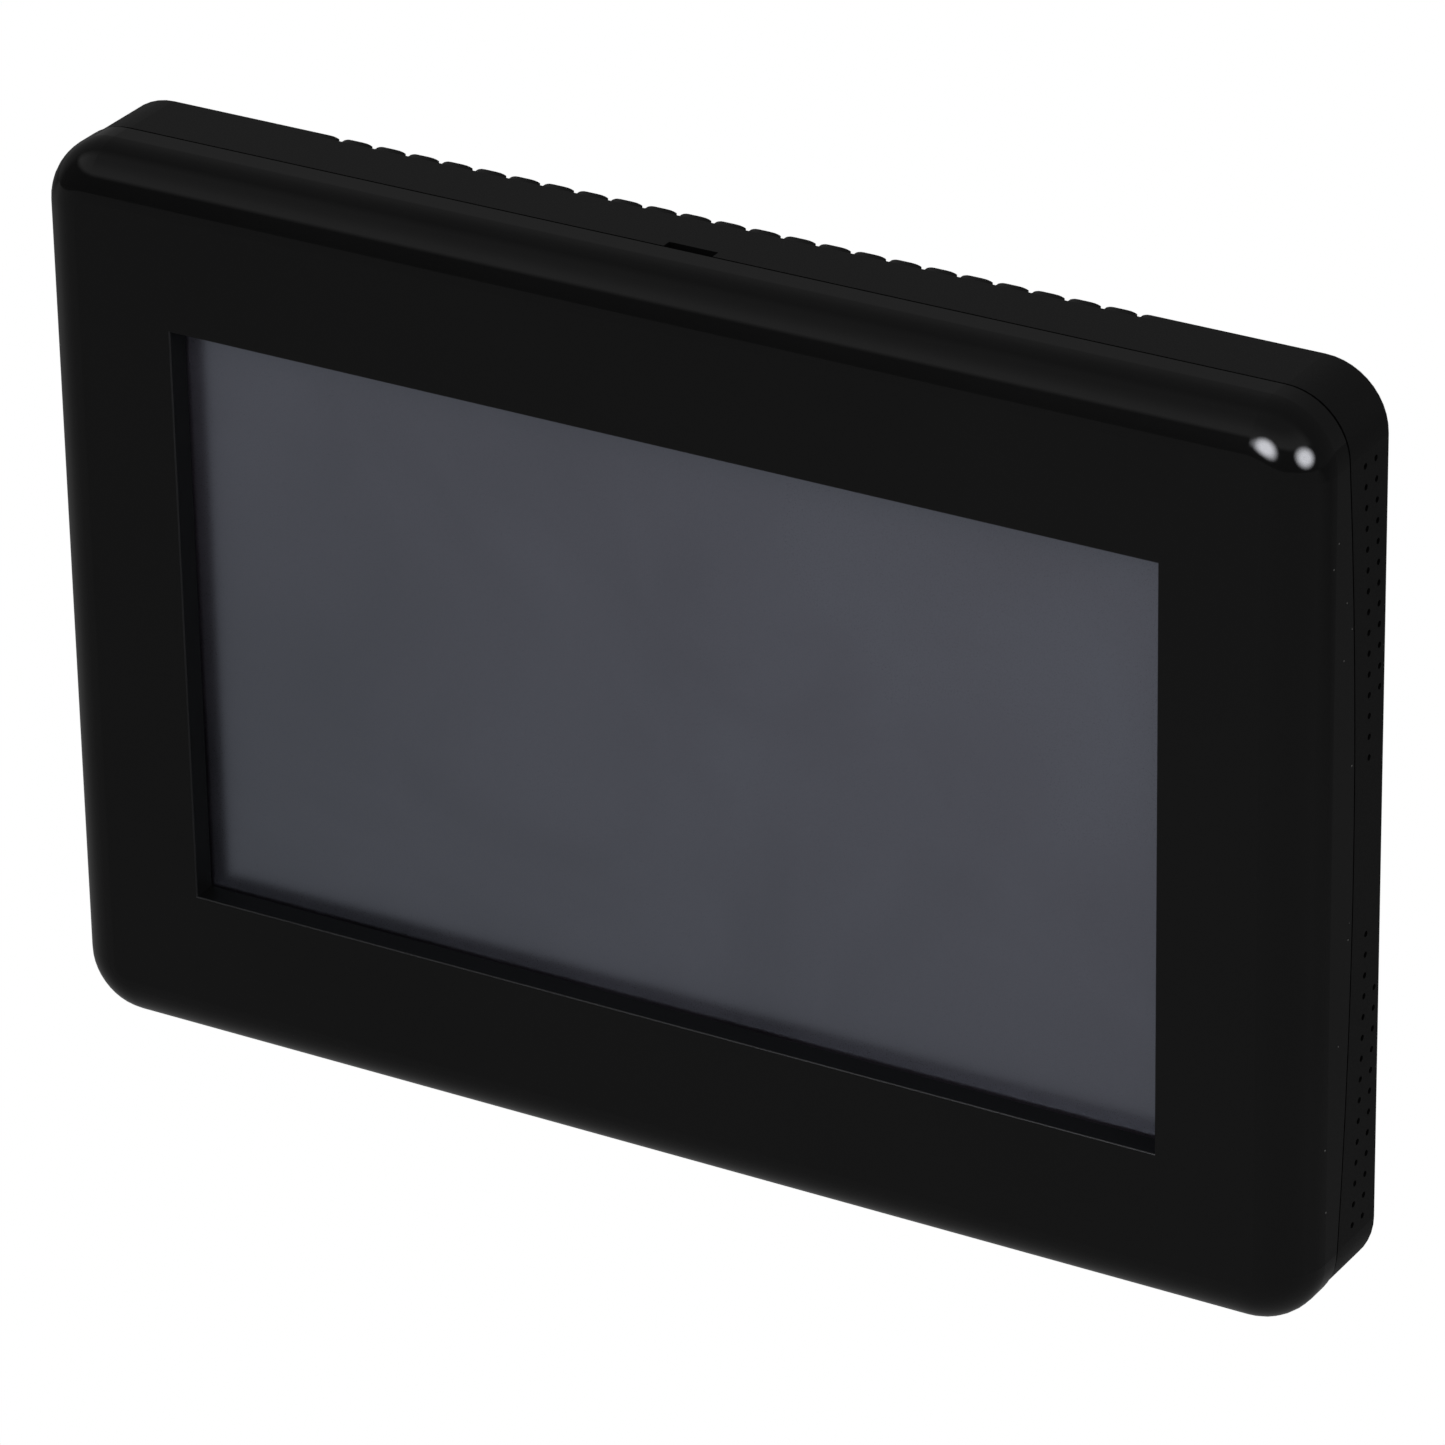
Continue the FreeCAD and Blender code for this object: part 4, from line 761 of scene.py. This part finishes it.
# %% Nylon, switches and the buzzer
ivory_nylon = finish("ivory_nylon", (0.62, 0.59, 0.52), (0.72, 0.69, 0.62), 0.3 * MM, (0.35, 0.5),
                     relief=0.006 * MM)
wear(ivory_nylon, "ribbon_sockets")
green_nylon = finish("green_nylon", (0.015, 0.150, 0.055), (0.022, 0.190, 0.072), 0.3 * MM,
                     (0.34, 0.5), relief=0.008 * MM)
wear(green_nylon, "terminal_block")
nickel = finish("nickel_plate", (0.56, 0.54, 0.50), (0.66, 0.64, 0.60), 0.08 * MM, (0.2, 0.34),
                metal=1.0, relief=0.003 * MM)
wear(nickel, "terminal_screw_1", "terminal_screw_2", "terminal_screw_3", "terminal_screw_4")
switch_black = finish("moulded_switch", (0.018, 0.018, 0.019), (0.028, 0.028, 0.029), 0.2 * MM,
                      (0.4, 0.55), relief=0.006 * MM)
wear(switch_black, "tamper_switch")
acetal = finish("natural_acetal", (0.70, 0.70, 0.67), (0.78, 0.78, 0.75), 0.4 * MM, (0.3, 0.42),
                relief=0.004 * MM)
wear(acetal, "tamper_plunger")
buzzer_shell = finish("buzzer_shell", (0.012, 0.012, 0.012), (0.018, 0.018, 0.018), 0.3 * MM,
                      (0.18, 0.28), relief=0.003 * MM)
wear(buzzer_shell, "buzzer")

# %% [markdown]
# ## Flexible circuits
# The two flat circuits are amber polyimide with copper lines running along them.  A
# repeat over X draws the lines, because both circuits run up and down.

# %% Flexible circuits
LINE_PITCH = 0.9 * MM
LINE_SHARE = 0.45


def make_flex_film():
    material, tree, shader = new_material("printed_flex")
    x_axis, _, _ = axes_of(tree)
    turns = math_node(tree, "FRACT", math_node(tree, "DIVIDE", x_axis, LINE_PITCH))
    line = math_node(tree, "LESS_THAN", turns, LINE_SHARE)
    clouds = noise(tree, 3 * MM, 2)
    film = mix_colour(tree, clouds, (0.34, 0.15, 0.025), (0.42, 0.20, 0.035))
    tree.links.new(mix_colour(tree, line, film, (0.58, 0.28, 0.07)), shader.inputs["Base Color"])
    tree.links.new(spread(tree, clouds, 0.26, 0.36), shader.inputs["Roughness"])
    add_bump(tree, shader, line, 0.01 * MM)
    return material


wear(make_flex_film(), "lcd_flex", "touch_flex")

# %% [markdown]
# ## Speaker
# The cone is felted paper with shallow pressed rings.  The rings are circles about the
# speaker's axis, so a sine of the distance from that axis makes their relief.

# %% Speaker
speaker_low, speaker_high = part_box("speaker_cone")
SPEAKER_X = (speaker_low[0] + speaker_high[0]) / 2
SPEAKER_Z = (speaker_low[2] + speaker_high[2]) / 2
RING_PITCH = 1.3 * MM


def make_cone_paper():
    material, tree, shader = new_material("felted_paper")
    x_axis, _, z_axis = axes_of(tree)
    across = math_node(tree, "SUBTRACT", x_axis, SPEAKER_X)
    height = math_node(tree, "SUBTRACT", z_axis, SPEAKER_Z)
    squares = math_node(tree, "ADD", math_node(tree, "MULTIPLY", across, across),
                        math_node(tree, "MULTIPLY", height, height))
    radius = math_node(tree, "SQRT", squares)
    turns = math_node(tree, "MULTIPLY", radius, 2 * math.pi / RING_PITCH)
    rings = math_node(tree, "SINE", turns)
    fibres = noise(tree, 0.25 * MM, 4, distortion=1.5)
    paper = mix_colour(tree, fibres, (0.022, 0.021, 0.020), (0.048, 0.046, 0.043))
    tree.links.new(paper, shader.inputs["Base Color"])
    shader.inputs["Roughness"].default_value = 0.85
    relief = math_node(tree, "ADD", math_node(tree, "MULTIPLY", rings, 0.5), fibres)
    add_bump(tree, shader, relief, 0.08 * MM)
    return material


wear(make_cone_paper(), "speaker_cone")
frame_paint = finish("frame_paint", (0.016, 0.016, 0.017), (0.026, 0.026, 0.027), 0.2 * MM,
                     (0.32, 0.46), relief=0.006 * MM)
wear(frame_paint, "speaker_frame")
magnet_plate = finish("magnet_plate", (0.42, 0.42, 0.44), (0.54, 0.54, 0.56), 0.15 * MM,
                      (0.25, 0.4), metal=1.0, relief=0.003 * MM)
wear(magnet_plate, "speaker_magnet")

# %% [markdown]
# ## Chip leads
# Every large chip stands on rows of tiny bent leads.  Geometry Nodes repeat one lead
# along a row and then repeat the row around the chip, so one tree serves them all: only
# the number of leads, the reach and the number of sides change.

# %% One bent lead
LEAD_THICK = 0.14 * MM
LEAD_WIDE = 0.3 * MM
LEAD_PITCH = 0.8 * MM
LEAD_PATH = [
    # distance from the side of the chip, height over the board
    (-0.2 * MM, 0.5 * MM),
    (0.35 * MM, 0.5 * MM),
    (0.65 * MM, 0.0),
    (1.25 * MM, 0.0),
]


def make_lead():
    """A lead that leaves the chip along +X, drops to the board and ends in a foot."""
    mesh = bpy.data.meshes.new("lead")
    verts = []
    for x, y in LEAD_PATH:
        for dy in (0.0, LEAD_THICK):
            for z in (-LEAD_WIDE / 2, LEAD_WIDE / 2):
                verts.append((x, y + dy, z))
    faces = [(0, 1, 3, 2)]
    for step in range(len(LEAD_PATH) - 1):
        a = 4 * step
        b = a + 4
        faces += [(a, b, b + 1, a + 1), (a + 1, b + 1, b + 3, a + 3),
                  (a + 3, b + 3, b + 2, a + 2), (a + 2, b + 2, b, a)]
    last = 4 * (len(LEAD_PATH) - 1)
    faces.append((last, last + 2, last + 3, last + 1))
    mesh.from_pydata(verts, [], faces)
    mesh.validate()
    work = bmesh.new()
    work.from_mesh(mesh)
    bmesh.ops.recalc_face_normals(work, faces=work.faces)
    work.to_mesh(mesh)
    work.free()
    return mesh


# %% [markdown]
# ## Rows of leads
# Stamped leads are tin plated and soldered down, so they share one bright finish.  The
# tree first lays a line of points along a chip's side, puts a lead on each, and then
# turns copies of that row about the chip: two rows for memory, four for the processor.

# %% The lead tree
solder = finish("solder_tin", (0.62, 0.62, 0.61), (0.74, 0.74, 0.73), 0.1 * MM, (0.24, 0.38),
                metal=1.0, relief=0.004 * MM)


def new_tree(name, sockets):
    """A Geometry Nodes tree with its input and output, and sockets for its settings."""
    tree = bpy.data.node_groups.new(name, "GeometryNodeTree")
    tree.interface.new_socket("Geometry", in_out="INPUT", socket_type="NodeSocketGeometry")
    tree.interface.new_socket("Geometry", in_out="OUTPUT", socket_type="NodeSocketGeometry")
    for label, kind in sockets:
        tree.interface.new_socket(label, in_out="INPUT", socket_type=kind)
    return tree, tree.nodes.new("NodeGroupInput"), tree.nodes.new("NodeGroupOutput")


def make_lead_tree():
    tree, given, result = new_tree("lead_rows", [
        ("Lead count", "NodeSocketInt"),
        ("Lead pitch", "NodeSocketFloat"),
        ("Reach", "NodeSocketFloat"),
        ("Sides", "NodeSocketInt"),
        ("Centre", "NodeSocketVector"),
    ])
    link = tree.links.new
    gaps = math_node(tree, "SUBTRACT", given.outputs["Lead count"], 1)
    span = math_node(tree, "MULTIPLY", gaps, given.outputs["Lead pitch"])
    start = tree.nodes.new("ShaderNodeCombineXYZ")
    link(given.outputs["Reach"], start.inputs["X"])
    link(math_node(tree, "MULTIPLY", span, -0.5), start.inputs["Z"])
    step = tree.nodes.new("ShaderNodeCombineXYZ")
    link(given.outputs["Lead pitch"], step.inputs["Z"])
    row = tree.nodes.new("GeometryNodeMeshLine")
    link(given.outputs["Lead count"], row.inputs["Count"])
    link(start.outputs[0], row.inputs["Start Location"])
    link(step.outputs[0], row.inputs["Offset"])
    leads = tree.nodes.new("GeometryNodeInstanceOnPoints")
    link(row.outputs["Mesh"], leads.inputs["Points"])
    link(given.outputs["Geometry"], leads.inputs["Instance"])
    sides = tree.nodes.new("GeometryNodeMeshLine")
    sides.inputs["Offset"].default_value = (0, 0, 0)
    link(given.outputs["Sides"], sides.inputs["Count"])
    index = tree.nodes.new("GeometryNodeInputIndex")
    share = math_node(tree, "DIVIDE", index.outputs[0], given.outputs["Sides"])
    turn = tree.nodes.new("ShaderNodeCombineXYZ")
    link(math_node(tree, "MULTIPLY", share, 2 * math.pi), turn.inputs["Y"])
    ring = tree.nodes.new("GeometryNodeInstanceOnPoints")
    link(sides.outputs["Mesh"], ring.inputs["Points"])
    link(leads.outputs["Instances"], ring.inputs["Instance"])
    link(turn.outputs[0], ring.inputs["Rotation"])
    place = tree.nodes.new("GeometryNodeTransform")
    link(ring.outputs["Instances"], place.inputs["Geometry"])
    link(given.outputs["Centre"], place.inputs["Translation"])
    real = tree.nodes.new("GeometryNodeRealizeInstances")
    link(place.outputs["Geometry"], real.inputs["Geometry"])
    coat = tree.nodes.new("GeometryNodeSetMaterial")
    coat.inputs["Material"].default_value = solder
    link(real.outputs["Geometry"], coat.inputs["Geometry"])
    link(coat.outputs["Geometry"], result.inputs["Geometry"])
    return tree


lead_tree = make_lead_tree()
print("lead tree has", len(lead_tree.nodes), "nodes")

# %% [markdown]
# ## Fitting the leads
# The tree runs once for each chip, with the chip's own size read from the frame.  The
# results are plain meshes, joined into one piece that rides with the front.

# %% Leads on the chips
def grown(mesh, tree, settings):
    """Run a tree on a mesh and give back the plain result."""
    holder = bpy.data.objects.new("holder", mesh)
    bpy.context.collection.objects.link(holder)
    modifier = holder.modifiers.new("grow", "NODES")
    modifier.node_group = tree
    for item in tree.interface.items_tree:
        if item.in_out == "INPUT" and item.name in settings:
            modifier[item.identifier] = settings[item.name]
    holder.update_tag()
    graph = bpy.context.evaluated_depsgraph_get()
    plain = bpy.data.meshes.new_from_object(holder.evaluated_get(graph))
    bpy.data.objects.remove(holder)
    return plain


def join(name, meshes, body):
    """Make one object from several meshes and let it ride on a body."""
    work = bmesh.new()
    for mesh in meshes:
        work.from_mesh(mesh)
    whole = bpy.data.meshes.new(name)
    work.to_mesh(whole)
    work.free()
    whole.materials.append(meshes[0].materials[0])
    piece = bpy.data.objects.new(name, whole)
    bpy.context.collection.objects.link(piece)
    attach(piece, body)
    light_up(piece)
    print(name, "has", len(whole.polygons), "faces")


BOARD_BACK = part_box("main_board")[1][1]


def leads_for(low, high, count, sides):
    """The leads of the chip that fills the box from `low` to `high`."""
    reach = (high[0] - low[0]) / 2
    centre = ((low[0] + high[0]) / 2, BOARD_BACK, (low[2] + high[2]) / 2)
    return grown(make_lead(), lead_tree, {
        "Lead count": count,
        "Lead pitch": LEAD_PITCH,
        "Reach": reach,
        "Sides": sides,
        "Centre": centre,
    })


cpu_low, cpu_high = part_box("processor")
flash_low, flash_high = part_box("flash_memory")
ram_low, ram_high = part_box("memory_chips")
RAM_HEIGHT = 11.0 * MM
lower_ram_top = (ram_high[0], ram_high[1], ram_low[2] + RAM_HEIGHT)
upper_ram_foot = (ram_low[0], ram_low[1], ram_high[2] - RAM_HEIGHT)
lead_meshes = [
    leads_for(cpu_low, cpu_high, count=18, sides=4),
    leads_for(flash_low, flash_high, count=20, sides=2),
    leads_for(ram_low, lower_ram_top, count=12, sides=2),
    leads_for(upper_ram_foot, ram_high, count=12, sides=2),
]
join("chip_leads", lead_meshes, "front")

# %% [markdown]
# ## Plated holes
# The board is dotted with plated holes that carry tracks from one face to the other.
# Scattering points with a fixed seed and a smallest distance keeps them irregular but
# never touching, and one small collar is repeated on every point.

# %% Plated holes
HOLE_DENSITY = 250000.0
HOLE_SPACING = 1.6 * MM
HOLE_SEED = 7
COLLAR_RADIUS = 0.24 * MM
COLLAR_WIRE = 0.06 * MM
COLLAR_CORNERS = 10
WIRE_CORNERS = 4


def make_hole_tree():
    tree, given, result = new_tree("plated_holes", [
        ("Density", "NodeSocketFloat"),
        ("Smallest distance", "NodeSocketFloat"),
        ("Collar radius", "NodeSocketFloat"),
        ("Seed", "NodeSocketInt"),
    ])
    link = tree.links.new
    scatter = tree.nodes.new("GeometryNodeDistributePointsOnFaces")
    scatter.distribute_method = "POISSON"
    link(given.outputs["Geometry"], scatter.inputs["Mesh"])
    link(given.outputs["Smallest distance"], scatter.inputs["Distance Min"])
    link(given.outputs["Density"], scatter.inputs["Density Max"])
    link(given.outputs["Seed"], scatter.inputs["Seed"])
    circle = tree.nodes.new("GeometryNodeCurvePrimitiveCircle")
    circle.inputs["Resolution"].default_value = COLLAR_CORNERS
    link(given.outputs["Collar radius"], circle.inputs["Radius"])
    wire = tree.nodes.new("GeometryNodeCurvePrimitiveCircle")
    wire.inputs["Resolution"].default_value = WIRE_CORNERS
    wire.inputs["Radius"].default_value = COLLAR_WIRE
    collar = tree.nodes.new("GeometryNodeCurveToMesh")
    link(circle.outputs["Curve"], collar.inputs["Curve"])
    link(wire.outputs["Curve"], collar.inputs["Profile Curve"])
    spots = tree.nodes.new("GeometryNodeInstanceOnPoints")
    link(scatter.outputs["Points"], spots.inputs["Points"])
    link(collar.outputs["Mesh"], spots.inputs["Instance"])
    link(scatter.outputs["Rotation"], spots.inputs["Rotation"])
    real = tree.nodes.new("GeometryNodeRealizeInstances")
    link(spots.outputs["Instances"], real.inputs["Geometry"])
    coat = tree.nodes.new("GeometryNodeSetMaterial")
    coat.inputs["Material"].default_value = solder
    link(real.outputs["Geometry"], coat.inputs["Geometry"])
    link(coat.outputs["Geometry"], result.inputs["Geometry"])
    return tree


def board_face(patches):
    """Flat patches on the back of the board, facing the wall."""
    mesh = bpy.data.meshes.new("board_face")
    verts = []
    faces = []
    for x0, x1, z0, z1 in patches:
        start = len(verts)
        corners = ((x0, z0), (x0, z1), (x1, z1), (x1, z0))
        verts += [(x, BOARD_BACK, z) for x, z in corners]
        faces.append(tuple(range(start, start + 4)))
    mesh.from_pydata(verts, [], faces)
    return mesh


PATCHES = [
    # from X, to X, from Z, to Z of areas that the parts leave free
    (cpu_low[0] - 12 * MM, cpu_low[0] - 2.2 * MM, cpu_low[2], cpu_high[2] + 8 * MM),
    (cpu_high[0] + 1.8 * MM, ram_low[0] - 1.8 * MM, cpu_low[2] - 2 * MM, cpu_high[2] + 2 * MM),
    (flash_low[0], cpu_low[0], cpu_low[2] + 24 * MM, cpu_low[2] + 46 * MM),
    (ram_high[0] + 2 * MM, ram_high[0] + 34 * MM, cpu_low[2] - 12 * MM, cpu_low[2] + 4 * MM),
    (-86 * MM, -60 * MM, 24 * MM, 42 * MM),
    (60 * MM, 84 * MM, -40 * MM, -4 * MM),
]
hole_mesh = grown(board_face(PATCHES), make_hole_tree(), {
    "Density": HOLE_DENSITY,
    "Smallest distance": HOLE_SPACING,
    "Collar radius": COLLAR_RADIUS,
    "Seed": HOLE_SEED,
})
join("plated_holes", [hole_mesh], "front")

# %% [markdown]
# ## The latch spring
# The latch spring is wound from wire and stands between a seat in the guide and the
# latch.  A wound spring closes up as the latch comes down, but this copy of its mesh
# only takes the place of the rigid one: it rides with the wall case, the bench lights
# reach it, and it keeps its length.

# %% Latch coil
coil_mesh = nodes["latch_spring"].data.copy()
coil_mesh.transform(nodes["latch_spring"].matrix_world)
latch_coil = bpy.data.objects.new("latch_coil", coil_mesh)
bpy.context.collection.objects.link(latch_coil)
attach(latch_coil, "wall_case")
light_up(latch_coil)
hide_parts("latch_spring")
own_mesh(latch_coil)

# %% Sizes and finish
print("cad box:", cad_box)
